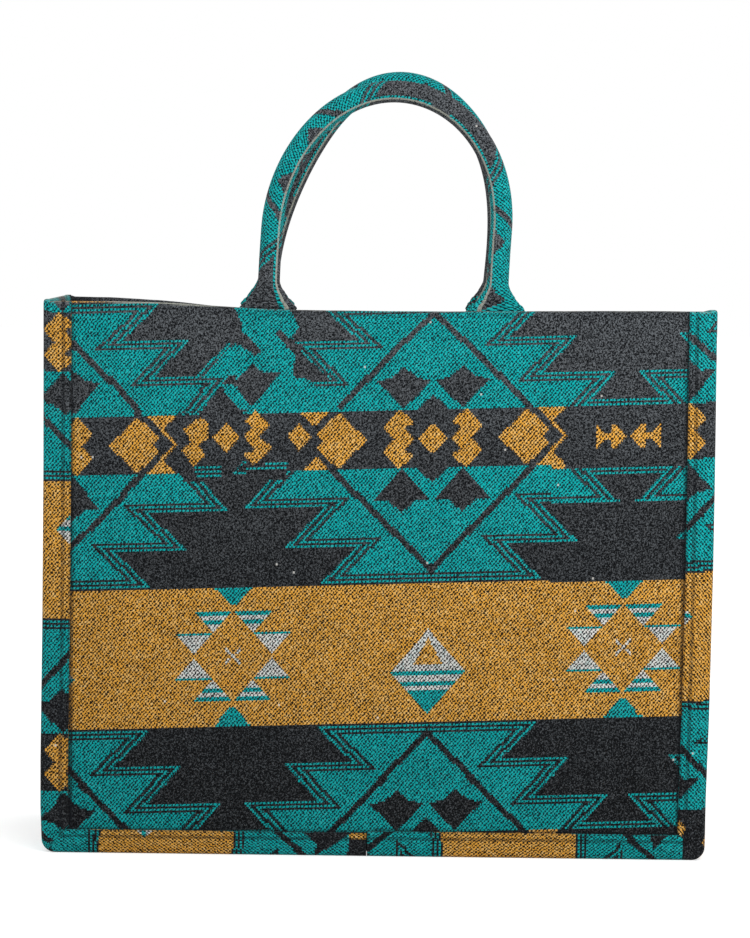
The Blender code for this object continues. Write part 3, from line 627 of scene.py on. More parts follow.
def side_hollow(across, along, side, props):
    """How far a side of the bag pulls in between its corners."""
    hollow = smooth_step((BODY_DEPTH / 2 - 0.010 - np.abs(across)) / 0.05)
    hollow = hollow * smooth_step((along - 0.002) / 0.05) * smooth_step((0.31 - along) / 0.06)
    return props.side_hollow * hollow * (1.0 + 0.4 * unevenness(across, along, side))


def gusset_faces(strip, props):
    """Outer and inner points of a gusset strip, where its pattern is, and each cell's painted shade less its
    painted highlight.
    """
    side, seam = strip["side"], strip["seam"]
    arc = math.pi / 2 * FOLD_RADIUS
    flat = BODY_DEPTH / 2 - FOLD_RADIUS
    half = flat + arc + BORDER_WIDTH - FOLD_RADIUS
    columns = round(2 * half / COLUMN)
    across = (np.arange(columns + 1) / columns - 0.5) * 2 * half
    quarter = math.pi / 2 * HEM_RADIUS
    hem_rows = round((quarter + HEM_DEPTH) / ROW)
    end = (quarter + GUSSET_TOP - HEM_RADIUS - CORNER_RADIUS + CORNER_RADIUS * math.pi / 2
           + half_width(0.0) - CORNER_RADIUS - seam)
    along = np.append(np.arange(-hem_rows, math.floor(end / ROW)) * ROW, end)
    a, s = np.meshgrid(across, along)
    out = np.abs(a) - flat
    section = np.clip(out / FOLD_RADIUS, 0.0, math.pi / 2)
    on_front = np.maximum(out - arc, 0.0)
    corner_start = quarter + GUSSET_TOP - HEM_RADIUS - CORNER_RADIUS
    under = smooth_step((s - corner_start) / (CORNER_RADIUS * math.pi / 2))
    squeeze = 1.0 - under * (BORDER_WIDTH - strip["base"]) / (BORDER_WIDTH - FOLD_RADIUS)
    inset = FOLD_RADIUS * (1 - np.cos(section)) + on_front * squeeze
    y = np.where(out < 0, np.abs(a), flat + FOLD_RADIUS * np.sin(section))
    border = smooth_step((inset - FOLD_RADIUS) / 0.001)
    rim_cut = np.maximum(s, quarter)
    x, z, turn = strip_place(np.where(inset > 1e-9, rim_cut, s), inset)
    hem_columns = np.abs(a) < BODY_DEPTH / 2 - PANEL_BACK - 3 * CLEARANCE
    capped = (~hem_columns) & (s < quarter)
    x_cap, z_cap, _ = strip_place(np.full(s.shape, quarter), inset)
    over = np.clip((quarter - s) / HEM_RADIUS, 0.0, math.pi / 2)
    x = np.where(capped, x_cap - RIM_PINCH * (1 - np.cos(over)) * (1 - border), x)
    z = np.where(capped, z_cap + HEM_RADIUS * np.sin(over), z)
    z = z - (GUSSET_RISE + 0.0002) * border * (1 - smooth_step((s - quarter) / 0.02))
    y = np.where(capped, y - RIM_PINCH * (1 - np.cos(over)) * border, y)
    turn = np.where(capped, 0.0, turn)
    from_edge = BORDER_WIDTH - FOLD_RADIUS - on_front
    groove = bell(from_edge - BORDER_STITCH, GROOVE_WIDTH)
    corner = (s - corner_start) / (CORNER_RADIUS * math.pi / 2)
    pleats = bell((corner - 0.5) * CORNER_RADIUS * 1.57, PLEAT_WIDTH) * border
    groove = np.maximum(groove, pleats)
    lip = smooth_step((LIP_WIDTH - from_edge) / LIP_WIDTH)
    swollen = BORDER_PUFF * np.sin(np.clip((inset - FOLD_RADIUS) / 0.0095, 0, 1) * math.pi)
    y_out = y + border * (swollen - GROOVE_DEPTH * groove) - LIP_DEPTH * lip
    hollow = side_hollow(a, s, side, props)
    nx, nz = np.cos(turn) * np.cos(section), np.sin(turn) * np.cos(section)
    sign = np.sign(a)
    ny = np.sin(section) * sign
    x = x - hollow + np.interp(s, *zip(*strip["swell"]))
    outer = np.stack([x, sign * y_out, z], 2)
    inner = np.stack([x - CLOTH * nx, sign * y_out - CLOTH * ny, z - CLOTH * nz], 2)
    for points in (outer, inner):
        points[..., 0] *= side
        points[..., 2] = np.maximum(points[..., 2], 0.0)
        points[..., 2] += rim_sag(points[..., 0], points[..., 1], points[..., 2], props)
    notch = np.nonzero(hem_columns[0])[0]
    stops = (hem_rows, notch[0], notch[-1])
    cell_a, cell_s = cell_middles(a), cell_middles(s)
    rows_s, rows_q = zip(*strip["rows"])
    edge_s, edge_p = zip(*strip["edge"])
    from_fold = (cell_a + flat + arc - FOLD_RADIUS) / UNIT
    rows_q = np.interp(cell_s, rows_s, rows_q) + np.minimum(cell_s, 0.0) / UNIT
    q = np.round((rows_q + STRIP_SLOPE * from_fold) / PASS) * PASS
    p = np.round((np.interp(cell_s, edge_s, edge_p) + from_fold) / STITCH) * STITCH
    cell_edge = cell_middles(from_edge)
    # Painted shade in the stitch groove and, on the border, in the corner pleats
    dark = bell(cell_edge - BORDER_STITCH, 0.0008)
    dark = 0.9 * np.maximum(dark, cell_middles(pleats)) * cell_middles(border)
    # Painted shade on the border's turned edge next to the panel
    dark = np.maximum(dark, 0.45 * smooth_step((0.0012 - cell_edge) / 0.0010))
    # Painted shade in the fold at the seam under the base
    dark = np.maximum(dark, 0.7 * bell(end - cell_s, 0.0012))
    # Painted highlight along the top of the rim's fold
    pale = 0.5 * bell(cell_s, 0.0016)
    return outer, inner, p, q, stops, dark - pale


def handle_line(data, step):
    """The handle's middle line in the bag's width and height above the rim, from foot to foot."""
    span, rise, leg_rise = data["span"], data["rise"], data["leg_rise"]
    legs = np.linspace(-FOOT_DEPTH, leg_rise, 60)[:-1]
    angle = np.linspace(math.pi, 0.0, 200)
    x = np.concatenate([np.full(59, -span / 2), span / 2 * np.cos(angle), np.full(59, span / 2)])
    z = np.concatenate([legs, leg_rise + (rise - leg_rise) * np.sin(angle), legs[::-1]])
    x = data["centre"] + x + data["lean"] * smooth_step(data["lean_rate"] * z / rise)
    way = np.concatenate([[0.0], np.cumsum(np.hypot(np.diff(x), np.diff(z)))])
    even = np.linspace(0.0, way[-1], round(way[-1] / step) + 1)
    return np.interp(even, way, x), np.interp(even, way, z), even


def cover_section(height):
    """Half-width and half-thickness of the cover: flat at the foot, a round tube above the rim."""
    open_share = smooth_step((height - 2 * CLEARANCE) / FLARE_HEIGHT)
    spread = (1 - np.clip(height / FLARE_HEIGHT, 0.0, 1.0)) ** 1.5
    radius = HANDLE_DIAMETER / 2
    half_thick = FOOT_THICKNESS / 2 + (radius - FOOT_THICKNESS / 2) * open_share
    return radius + (FOOT_WIDTH / 2 - radius) * spread, half_thick


def directions(x, z):
    """Unit vectors along a line."""
    along = np.stack([np.gradient(x), np.gradient(z)], 1)
    return along / np.linalg.norm(along, axis=1)[:, None]


def tube_points(x, z, along, out, y):
    """Rings of points round a handle's middle line; out lies in its plane and y across that plane."""
    return np.stack([x[:, None] + along[:, 1:] * out, y + 0 * x[:, None],
                     BODY_HEIGHT + z[:, None] - along[:, :1] * out], 2)


def handle_faces(data):
    """Outer and inner points of a handle's cover, its way along and its way round from the seam."""
    x, z, way = handle_line(data, COLUMN * HANDLE_SCALE)
    along = directions(x, z)
    foot = z < 2 * CLEARANCE
    along[foot] = np.where(np.arange(len(x)) < len(x) / 2, 1.0, -1.0)[foot, None] * np.array([[0.0, 1.0]])
    wide, thick = cover_section(z)
    fray = np.sin(np.arange(len(x)) * 2.4) + np.sin(np.arange(len(x)) * 5.3 + 1.0)
    wide = wide + FRAY * fray * (wide - HANDLE_DIAMETER / 2) / (FOOT_WIDTH / 2 - HANDLE_DIAMETER / 2)
    columns = round(math.pi * HANDLE_DIAMETER / ROW)
    turn = HANDLE_SEAM_ANGLE - np.linspace(0.0, 2 * math.pi, columns + 1)
    flatness = (1 - thick / wide)[:, None]
    swing = np.sign(np.sin(turn)) * np.abs(np.sin(turn)) ** (1 - FOOT_SQUARENESS * flatness)
    faces = []
    ridge = np.zeros(columns + 1)
    ridge[[0, 1, -1]] = SEAM_RIDGE
    for depth in (-ridge, COVER_CLOTH):
        out = (wide[:, None] - depth) * np.cos(turn)
        faces.append(tube_points(x, z, along, out, data["y"] + (thick[:, None] - depth) * swing))
    return faces[0], faces[1], way, np.linspace(0.0, math.pi * HANDLE_DIAMETER, columns + 1)


def rope_bar(name, data):
    """Rope inside a handle's cover, as a round bar that ends just above the rim."""
    x, z, _ = handle_line(data, 0.003)
    bare = z >= FLARE_HEIGHT
    x, z = x[bare], z[bare]
    along = directions(x, z)
    turn = np.linspace(0.0, 2 * math.pi, ROPE_SIDES + 1)[:-1]
    points = tube_points(x, z, along, ROPE_RADIUS * np.cos(turn), data["y"] + ROPE_RADIUS * np.sin(turn))
    mesh = bpy.data.meshes.new(name)
    faces = []
    for low in range(0, ROPE_SIDES * (len(x) - 1), ROPE_SIDES):
        for side in range(ROPE_SIDES):
            beside = (side + 1) % ROPE_SIDES
            faces.append((low + side, low + beside, low + ROPE_SIDES + beside, low + ROPE_SIDES + side))
    last = ROPE_SIDES * (len(x) - 1)
    faces += [tuple(range(ROPE_SIDES - 1, -1, -1)), tuple(range(last, last + ROPE_SIDES))]
    mesh.from_pydata(points.reshape(-1, 3).tolist(), [], faces)
    sheet = bmesh.new()
    sheet.from_mesh(mesh)
    bmesh.ops.recalc_face_normals(sheet, faces=sheet.faces)
    sheet.to_mesh(mesh)
    sheet.free()
    return linked(name, mesh)


def lining_faces(props):
    """Points of the pouch's two faces, from its mouth down and in to its base's middle, and its corners."""
    reach_x = half_width(0.0) - LINING_SIDE
    reach_y = BODY_DEPTH / 2 - FOOT_OFFSET
    loop_x, loop_y, corners = [], [], []
    for x_sign, y_sign, start in ((1, -1, -90.0), (1, 1, 0.0), (-1, 1, 90.0), (-1, -1, 180.0)):
        for step in range(5):
            angle = math.radians(start + 22.5 * step)
            corners.append(len(loop_x))
            loop_x.append(x_sign * (reach_x - LINING_CORNER) + LINING_CORNER * math.cos(angle))
            loop_y.append(y_sign * (reach_y - LINING_CORNER) + LINING_CORNER * math.sin(angle))
        long_side = x_sign == y_sign
        flat = (reach_x if long_side else reach_y) - LINING_CORNER
        count = round(2 * flat / LINING_STEP)
        places = np.linspace(-flat, flat, count + 1)[1:-1]
        if long_side:
            loop_x += list(places[::-y_sign])
            loop_y += [y_sign * reach_y] * len(places)
        else:
            loop_x += [x_sign * reach_x] * len(places)
            loop_y += list(places[::x_sign])
    loop_x.append(loop_x[0])
    loop_y.append(loop_y[0])
    top = BODY_HEIGHT - LINING_DROP
    heights = np.linspace(top, LINING_BOTTOM + LINING_CLOTH, round((top - LINING_BOTTOM) / LINING_STEP))
    drawn_in = np.linspace(0.0, reach_y - CLEARANCE, round(reach_y / LINING_STEP))[1:]
    z = np.concatenate([heights, np.full(len(drawn_in), LINING_BOTTOM + LINING_CLOTH)])[:, None]
    shrink = np.concatenate([np.zeros(len(heights)), drawn_in])[:, None]
    x, y = np.array(loop_x)[None] + 0 * z, np.array(loop_y)[None] + 0 * z
    lean = half_width(z) - half_width(0.0)
    nx, ny = np.gradient(y, axis=1), -np.gradient(x, axis=1)
    size = np.hypot(nx, ny)
    nx, ny = nx / size, ny / size
    swell = np.zeros(x.shape)
    for data, side in ((HANDLES["front_handle"], -1), (HANDLES["back_handle"], 1)):
        for foot_x in (data["centre"] - data["span"] / 2, data["centre"] + data["span"] / 2):
            across = 1 - smooth_step((np.abs(x - foot_x) - FOOT_WIDTH / 2 - BULGE_MARGIN) / BULGE_SLOPE)
            upward = smooth_step((z - BODY_HEIGHT + FOOT_DEPTH + BULGE_MARGIN + BULGE_SLOPE) / BULGE_SLOPE)
            swell = np.maximum(swell, across * upward * (y * side > 0))
    swell *= FOOT_THICKNESS + CLEARANCE
    free = smooth_step((top - z) / 0.03) * smooth_step((z - 0.010) / 0.04)
    folds = 0.5 + 0.5 * unevenness(x * 1.4 + y, z * 0.6 + 0.2 * x, 5)
    inward = props.lining_folds * folds * free * (shrink == 0)
    along = math.pi / 2 * HEM_RADIUS + GUSSET_TOP - HEM_RADIUS - z
    hollow = (x < -reach_x + 0.001) * side_hollow(y, along, -1, props)
    hollow = hollow + (x > reach_x - 0.001) * side_hollow(y, along, 1, props)
    faces = []
    for depth in (LINING_CLOTH, 0.0):
        limit_x, limit_y = reach_x - shrink - depth, reach_y - shrink - depth
        px = np.clip(x - depth * nx, -limit_x, limit_x) + np.sign(x) * lean * (np.abs(x) > 0.05)
        py = np.clip(y - depth * ny, -limit_y, limit_y)
        px = px - inward * nx - np.sign(x) * hollow * (shrink == 0)
        py = py - inward * ny - np.sign(y) * swell
        pz = z + 0 * px - (0.0 if depth else LINING_CLOTH) * (z <= LINING_BOTTOM + LINING_CLOTH)
        faces.append(np.stack([px, py, pz + rim_sag(px, py, pz, props)], 2))
    return faces[0], faces[1], corners


# Shader recipes

class Reading:
    """A shader value that takes part in expressions: every operator adds a Math node."""

    def __init__(self, recipe, socket):
        self.recipe = recipe
        self.socket = socket

    def twin(self, output):
        """Another output of the same node."""
        return Reading(self.recipe, self.socket.node.outputs[output])

    def maths(self, operation, *values):
        return self.recipe.node("ShaderNodeMath", {"operation": operation}, dict(enumerate(values)))

    def __add__(self, other):
        return self.maths("ADD", self, other)

    __radd__ = __add__

    def __sub__(self, other):
        return self.maths("SUBTRACT", self, other)

    def __rsub__(self, other):
        return self.maths("SUBTRACT", other, self)

    def __mul__(self, other):
        return self.maths("MULTIPLY", self, other)

    __rmul__ = __mul__

    def __pow__(self, other):
        return self.maths("POWER", self, other)

    def sine(self):
        return self.maths("SINE", self)

    def cosine(self):
        return self.maths("COSINE", self)

    def floor(self):
        return self.maths("FLOOR", self)

    def above_zero(self):
        return self.maths("MAXIMUM", self, 0.0)

    def eased(self, low, high):
        """0 below low and 1 above high, with a soft change between."""
        settings = {"interpolation_type": "SMOOTHSTEP"}
        values = {"Value": self, "From Min": low, "From Max": high}
        return self.recipe.node("ShaderNodeMapRange", settings, values)


class Recipe:
    """The nodes that make a material or the world."""

    def __init__(self, owner, shader="Principled BSDF"):
        self.owner = owner
        owner.use_nodes = True
        self.tree = owner.node_tree
        self.shader = self.tree.nodes[shader]

    def connect(self, target, value):
        if isinstance(value, Reading):
            self.tree.links.new(value.socket, target)
        else:
            target.default_value = value

    def node(self, kind, settings, values, output=0):
        """Add a node, with its settings first and then the values or links of its sockets."""
        made = self.tree.nodes.new(kind)
        for name, setting in settings.items():
            setattr(made, name, setting)
        for name, value in values.items():
            self.connect(made.inputs[name], value)
        return Reading(self, made.outputs[output])

    def mix(self, share, first, second, blend="MIX"):
        settings = {"data_type": "RGBA", "blend_type": blend}
        return self.node("ShaderNodeMix", settings, {0: share, 6: first, 7: second}, 2)

    def noise(self, place, scale, detail, output="Fac", **more):
        values = {"Vector": place, "Scale": scale, "Detail": detail, **more}
        return self.node("ShaderNodeTexNoise", {}, values, output)

    def dice(self, u, v):
        """A number from 0 to 1 for each pair of whole numbers."""
        spot = self.node("ShaderNodeCombineXYZ", {}, {"X": u, "Y": v})
        return self.node("ShaderNodeTexWhiteNoise", {"noise_dimensions": "2D"}, {"Vector": spot}, "Value")

    def parts(self, place):
        """The three coordinates of a place."""
        x = self.node("ShaderNodeSeparateXYZ", {}, {"Vector": place}, "X")
        return x, x.twin("Y"), x.twin("Z")

    def body_place(self):
        """The place on the object, in metres."""
        return self.node("ShaderNodeTexCoord", {}, {}, "Object")

    def bump(self, strength, distance, height):
        return self.node("ShaderNodeBump", {}, {"Strength": strength, "Distance": distance, "Height": height})

    def seen(self):
        """1 for what the camera sees, also in a mirror or through glass, and 0 for light on its way."""
        path = self.node("ShaderNodeLightPath", {}, {}, "Is Camera Ray")
        rays = path + path.twin("Is Glossy Ray") + path.twin("Is Transmission Ray")
        return rays.maths("MINIMUM", rays, 1.0)

    def tint(self, share, colour, depth):
        """A colour and its darker tone."""
        return self.mix(share, opaque(part * depth for part in colour), opaque(colour))

    def grey(self, value):
        return self.node("ShaderNodeCombineColor", {}, {0: value, 1: value, 2: value})

    def finish(self, **values):
        """Set or link the shader's own sockets."""
        for name, value in values.items():
            socket = name.replace("_", " ").title().replace("Ior", "IOR")
            self.connect(self.shader.inputs[socket], value)
        return self.owner


def opaque(colour):
    """A property's colour with its alpha."""
    return (*colour, 1.0)


def woven_material(props):
    """Coarse cloth whose yarns show as bright and dark dots in a checkerboard."""
    cloth = Recipe(bpy.data.materials.new("patterned_cloth"))
    place = cloth.node("ShaderNodeUVMap", {"uv_map": "Weave"}, {})
    draft_wear_and_painted_light = cloth.node("ShaderNodeAttribute", {"attribute_name": "draft_wear_and_painted_light"}, {}, "Color")
    # The alpha holds painted shade below 1, and above 1 wear on the handles' seams and painted highlights on
    # fold tops
    finish = draft_wear_and_painted_light.twin("Alpha")
    teal = cloth.node("ShaderNodeSeparateColor", {}, {"Color": draft_wear_and_painted_light}, "Red")
    ochre, ecru = teal.twin("Green"), teal.twin("Blue")
    u, v, _ = cloth.parts(place)
    slub = cloth.noise(place, 0.42, 2.0)
    drift = cloth.noise(place, 0.23, 2.0)
    patch = cloth.noise(place, 0.06, 2.0)
    fibre = cloth.noise(place, 1.15, 2.0, Roughness=0.6, Distortion=0.8)
    fine = cloth.noise(place, 1.35, 1.0, Roughness=0.5, Distortion=1.0)
    jitter = cloth.noise(place, 0.75, 1.0, "Color")
    sway = cloth.node("ShaderNodeSeparateColor", {}, {"Color": jitter}, "Red")
    stretch = sway.twin("Green")
    speck = cloth.dice(u.floor(), v.floor())
    chance = cloth.dice(u.floor() + 0.5, v.floor() * 2.0)
    # Place on the bag, for painted light: lighter towards the top and towards the right
    side, _, height = cloth.parts(cloth.body_place())
    height = height.eased(-0.10, 0.40)

    # Dots where a yarn lies on top, in a slanting checkerboard
    u2 = (u + (drift - 0.5) * 1.2 + (sway - 0.5) * 2.0) * math.pi
    v2 = (v + (slub - 0.5) * 0.8 + (stretch - 0.5) * 1.7) * math.pi
    lift = (u2 - v2).cosine() * 0.56 - (u2 + v2).cosine() * 0.44
    wave = lift * (speck * 0.9 + 0.80) + (slub - 0.5) * 0.6 + (fibre - 0.5) * 1.4

    # Coloured yarns on their dark ground
    ground = cloth.mix(ochre, opaque(props.teal_ground), opaque(props.ochre_ground))
    ground = cloth.mix(ecru, ground, opaque(props.ecru_ground))
    bright = cloth.mix(ochre, opaque(props.teal), opaque(props.ochre))
    bright = cloth.mix(ecru, bright, opaque(props.ecru))
    pale = cloth.mix(ochre, opaque(props.pale_teal), opaque(props.pale_fibre))
    bright = cloth.mix(chance * speck * (ochre * 0.4 + 0.4), bright, pale)
    coloured = cloth.mix(wave.eased(-0.40, 0.34), ground, bright)

    # Charcoal yarn, a mixture of light and dark fibres, with painted light that makes it lighter and more
    # speckled towards the top and darker towards the bottom
    speckle = (fine + (speck - 0.5) * 0.08 + lift * 0.03 + height * 0.08).eased(0.50, 0.71)
    charcoal = cloth.mix(speckle, opaque(props.charcoal_ground), opaque(props.charcoal))
    charcoal = cloth.mix(1.0, charcoal, cloth.grey(height ** 4.0 * 0.40 + 0.45), "MULTIPLY")

    # Tone of the whole cloth: random patches, and painted light brighter towards the top and towards the
    # right; then painted shade, worn edges on the handles' seams, painted highlights and lint
    yarn = cloth.mix(teal + ochre + ecru, charcoal, coloured)
    patches_and_painted_light = cloth.grey(((patch - 0.5) * 0.4 + 1.0) * (height * 0.25 + 0.78) * (side * 0.4 + 1.0))
    shaded = cloth.mix(1.0, yarn, patches_and_painted_light, "MULTIPLY")
    # Painted shade where the cells' darkness is set: stitch grooves, rim folds, borders' edges, pleats and
    # the seam under the base
    shaded = cloth.mix((1.0 - finish).above_zero() * 0.85, shaded, opaque(props.charcoal_ground))
    # The handles' seam edges are worn; along the tops of the rims' folds the same colour is a painted
    # highlight
    wear_and_highlight = (finish - 1.0).above_zero() * fibre.eased(0.25, 0.55)
    shaded = cloth.mix(wear_and_highlight, shaded, opaque(props.seam_wear_and_highlight))
    shaded = cloth.mix(chance.eased(0.99978, 0.9998) * 0.6, shaded, opaque(props.lint))
    return cloth.finish(base_color=shaded, roughness=0.9, normal=cloth.bump(0.35, 0.0002, wave),
                        specular_ior_level=0.08, sheen_weight=0.05, sheen_roughness=0.5)


def plain_cloth_material(colour):
    """Undyed plain-weave cloth."""
    cloth = Recipe(bpy.data.materials.new("lining_cloth"))
    place = cloth.body_place()
    x, y, z = cloth.parts(place)
    thread = ((x + y) * LINING_THREADS * math.pi).sine() * (z * LINING_THREADS * math.pi).sine()
    grain = cloth.noise(place, 900.0, 3.0)
    soil = cloth.noise(place, 14.0, 3.0)
    shade = (thread * 0.2 + grain * 0.9 + soil * 0.35 - 0.15).eased(0.0, 1.0)
    return cloth.finish(base_color=cloth.tint(shade, colour, 0.72), roughness=0.9,
                        normal=cloth.bump(0.25, 0.0002, thread + grain), specular_ior_level=0.2)


def rope_material(colour):
    """Twisted undyed cotton."""
    rope = Recipe(bpy.data.materials.new("twisted_cotton"))
    place = rope.body_place()
    x, y, z = rope.parts(place)
    strand = ((x + z + y * 0.8) * 900.0).sine()
    grain = rope.noise(place, 1200.0, 3.0)
    shade = (strand * 0.35 + grain).eased(0.1, 1.1)
    return rope.finish(base_color=rope.tint(shade, colour, 0.6), roughness=0.92,
                       normal=rope.bump(0.5, 0.0006, strand + grain * 0.4))


def board_material(colour):
    """Matt fibre board."""
    board = Recipe(bpy.data.materials.new("fibre_board"))
    grain = board.noise(board.body_place(), 700.0, 5.0)
    return board.finish(base_color=board.tint(grain, colour, 0.55), roughness=0.8,
                        normal=board.bump(0.3, 0.0003, grain))


def floor_material():
    """White paper that the camera sees as pure white but for the shadow on it."""
    paper = Recipe(bpy.data.materials.new("white_floor"))
    return paper.finish(base_color=(0.85, 0.85, 0.85, 1.0), roughness=1.0,
                        emission_color=paper.grey(paper.seen() * 0.5), emission_strength=1.0,
                        specular_ior_level=0.0)


# Properties

def colour_property(name, default, description):
    return bpy.props.FloatVectorProperty(name=name, description=description, default=default, size=3, min=0.0,
                                         max=1.0, subtype="COLOR")


def length_property(name, default, description):
    return bpy.props.FloatProperty(name=name, description=description, default=default, unit="LENGTH",
                                   precision=5)


class ToteShape(bpy.types.PropertyGroup):
    """Soft shape that the cloth takes on the frame."""
    panel_puff: length_property("Panel puff", 0.0006, "How far a panel swells between its borders")
    unevenness: length_property("Unevenness", 0.0004, "Height of the slow swells in the cloth")
    side_hollow: length_property("Side hollow", 0.0045, "How far the middle of a side pulls in")
    rear_sag: bpy.props.FloatProperty(name="Rear sag", default=1.0, min=0.0, max=2.0,
                                      description="Share of the rear rim's lift at the left and its sag")
    left_lift: length_property("Left lift", 0.0020, "How far the front rim stands up at its left end")
    right_lift: length_property("Right lift", 0.0004, "How far the front rim stands up at its right end")
    front_sag: length_property("Front sag", 0.0017, "How far the front rim sinks between the handles' feet")
    lining_folds: length_property("Lining folds", 0.0022, "How far the lining stands off the walls")


class ToteColours(bpy.types.PropertyGroup):
    """Colours of the yarns and the parts inside."""
    teal: colour_property("Teal", (0.001, 0.400, 0.405), "Teal yarn where it lies on top")
    teal_ground: colour_property("Teal ground", (0.003, 0.025, 0.032), "What shows between teal yarns")
    ochre: colour_property("Ochre", (0.780, 0.370, 0.045), "Ochre yarn where it lies on top")
    ochre_ground: colour_property("Ochre ground", (0.018, 0.011, 0.005), "What shows between ochre yarns")
    ecru: colour_property("Ecru", (0.780, 0.760, 0.720), "Undyed yarn where it lies on top")
    ecru_ground: colour_property("Ecru ground", (0.030, 0.030, 0.034), "What shows between undyed yarns")
    charcoal: colour_property("Charcoal", (0.162, 0.177, 0.192), "Light fibres of the charcoal yarn")
    charcoal_ground: colour_property("Charcoal ground", (0.006, 0.007, 0.009), "Dark fibres of that yarn")
    pale_teal: colour_property("Pale teal", (0.080, 0.560, 0.560), "Lighter fibres of the teal yarn")
    pale_fibre: colour_property("Pale ochre", (0.900, 0.620, 0.260), "Lighter fibres of the ochre yarn")
    lint: colour_property("Lint", (0.750, 0.740, 0.700), "Specks of lint in the weave")
    lining: colour_property("Lining", (0.700, 0.640, 0.520), "Lining cloth")
    rope: colour_property("Rope", (0.600, 0.560, 0.470), "Rope in the handles")
    board: colour_property("Board", (0.350, 0.300, 0.230), "Stiffener in the base")
    # Also the colour of the painted highlights along the tops of the rims' folds
    seam_wear_and_highlight: colour_property("Seam edge", (0.480, 0.490, 0.420), "Worn edge along the handles' seam")


class ToteStage(bpy.types.PropertyGroup):
    """Camera, light and floor."""
    camera_place: bpy.props.FloatVectorProperty(name="Camera", description="Where the camera stands",
                                                default=(-0.00217, -2.3275, 0.3809), subtype="TRANSLATION")
    pitch: bpy.props.FloatProperty(name="Pitch", description="How far the camera looks down",
                                   default=math.radians(3.63), subtype="ANGLE")
    roll: bpy.props.FloatProperty(name="Roll", description="Turn of the picture",
                                  default=math.radians(0.7249), subtype="ANGLE")
    lens: bpy.props.FloatProperty(name="Lens", description="Focal length in millimetres", default=142.1,
                                  min=1.0)
    sky: bpy.props.FloatProperty(name="Surround light", description="Strength of the light from all round",
                                 default=0.78, min=0.0)
    key_place: bpy.props.FloatVectorProperty(name="Lamp", description="Where the large lamp stands",
                                             default=(0.85, -1.7, 1.35), subtype="TRANSLATION")
    key: bpy.props.FloatProperty(name="Key light", description="Power of the large lamp", default=17.5,
                                 min=0.0, unit="POWER")


# Operators

class TOTE_OT_panels(bpy.types.Operator):
    """Front and back panels with their folded rims"""
    bl_idname = "tote.panels"
    bl_label = "Panels"

    def execute(self, context):
        for name, side in (("front_panel", -1), ("back_panel", 1)):
            outer, inner, p, q, shade = panel_faces(side, context.scene.tote_shape)
            yarns = front_yarns(p, q) if side < 0 else pattern_yarns(p, q)
            item = woven_solid(name + "_cloth", outer, inner, yarns, *inner_stops(outer, WALL_STRIDES),
                               shade=shade)
            dress(item, bpy.data.materials["patterned_cloth"], "bag_cloth", name)
        return {"FINISHED"}


class TOTE_OT_gussets(bpy.types.Operator):
    """Strips round the two sides, turned over onto the front and back"""
    bl_idname = "tote.gussets"
    bl_label = "Gussets"

    def execute(self, context):
        for name, strip in STRIPS.items():
            outer, inner, p, q, stops, shade = gusset_faces(strip, context.scene.tote_shape)
            yarns = pattern_yarns(p, q)
            hem_rows, notch_low, notch_high = stops
            row_stops, column_stops = inner_stops(outer, WALL_STRIDES, [hem_rows], [notch_low, notch_high])
            below_rim = np.array(row_stops[:-1]) >= hem_rows
            block_start = np.array(column_stops[:-1])
            kept = below_rim[:, None] | ((block_start >= notch_low) & (block_start < notch_high))
            item = woven_solid(name + "_cloth", outer, inner, yarns, row_stops, column_stops, kept,
                               shade=shade)
            dress(item, bpy.data.materials["patterned_cloth"], "bag_cloth", name)
        return {"FINISHED"}


class TOTE_OT_handles(bpy.types.Operator):
    """Rolled covers of the two handles, with the seam along their inner side"""
    bl_idname = "tote.handles"
    bl_label = "Handles"

    def execute(self, context):
        for name, data in HANDLES.items():
            outer, inner, way, around = handle_faces(data)
            axis = FOOT_DEPTH + data["diamond"]
            middle = (way[:-1] + way[1:]) / 2
            drift = smooth_step((middle - axis - DRIFT_START) / DRIFT_LENGTH) * (data["y"] < 0)
            t, p = np.meshgrid((around[:-1] + around[1:]) / 2 / UNIT + HANDLE_SEAM_T + MOTIF_HALF,
                               (middle - axis) / UNIT / HANDLE_SCALE + (PATTERN_DRIFT / UNIT) * drift)
            yarns = pattern_yarns(p, t)
            wear = np.zeros(yarns.shape)
            wear[:, 0] = -COVER_WEAR
            item = woven_solid(name + "_cloth", outer, inner, yarns, *inner_stops(outer, COVER_STRIDES),
                               tube=True, shade=wear)
            dress(item, bpy.data.materials["patterned_cloth"], "bag_cloth", name + "_cover")
        return {"FINISHED"}


class TOTE_OT_lining(bpy.types.Operator):
    """Pouch of plain cloth inside the bag"""
    bl_idname = "tote.lining"
    bl_label = "Lining"

    def execute(self, context):
        outer, inner, corners = lining_faces(context.scene.tote_shape)
        rows, columns = outer.shape[:2]
        yarns = np.full((rows - 1, columns - 1), ECRU)
        stops = inner_stops(outer, LINING_STRIDES, extra_columns=corners)
        item = woven_solid("lining_pouch", outer, inner, yarns, *stops, tube=True)
        material = plain_cloth_material(context.scene.tote_colours.lining)
        dress(item, material, "lining_cloth", "lining")
        return {"FINISHED"}


class TOTE_OT_hidden_parts(bpy.types.Operator):
    """Ropes in the handles and the base board, which keeps its shape from the frame"""
    bl_idname = "tote.hidden_parts"
    bl_label = "Rope and board"

    def execute(self, context):
        colours = context.scene.tote_colours
        rope = rope_material(colours.rope)
        for name, data in HANDLES.items():
            dress(rope_bar(name + "_rope", data), rope, "rope", name + "_core")
        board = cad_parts["base_board"]
        board.data.materials.clear()
        board.data.materials.append(board_material(colours.board))
        return {"FINISHED"}


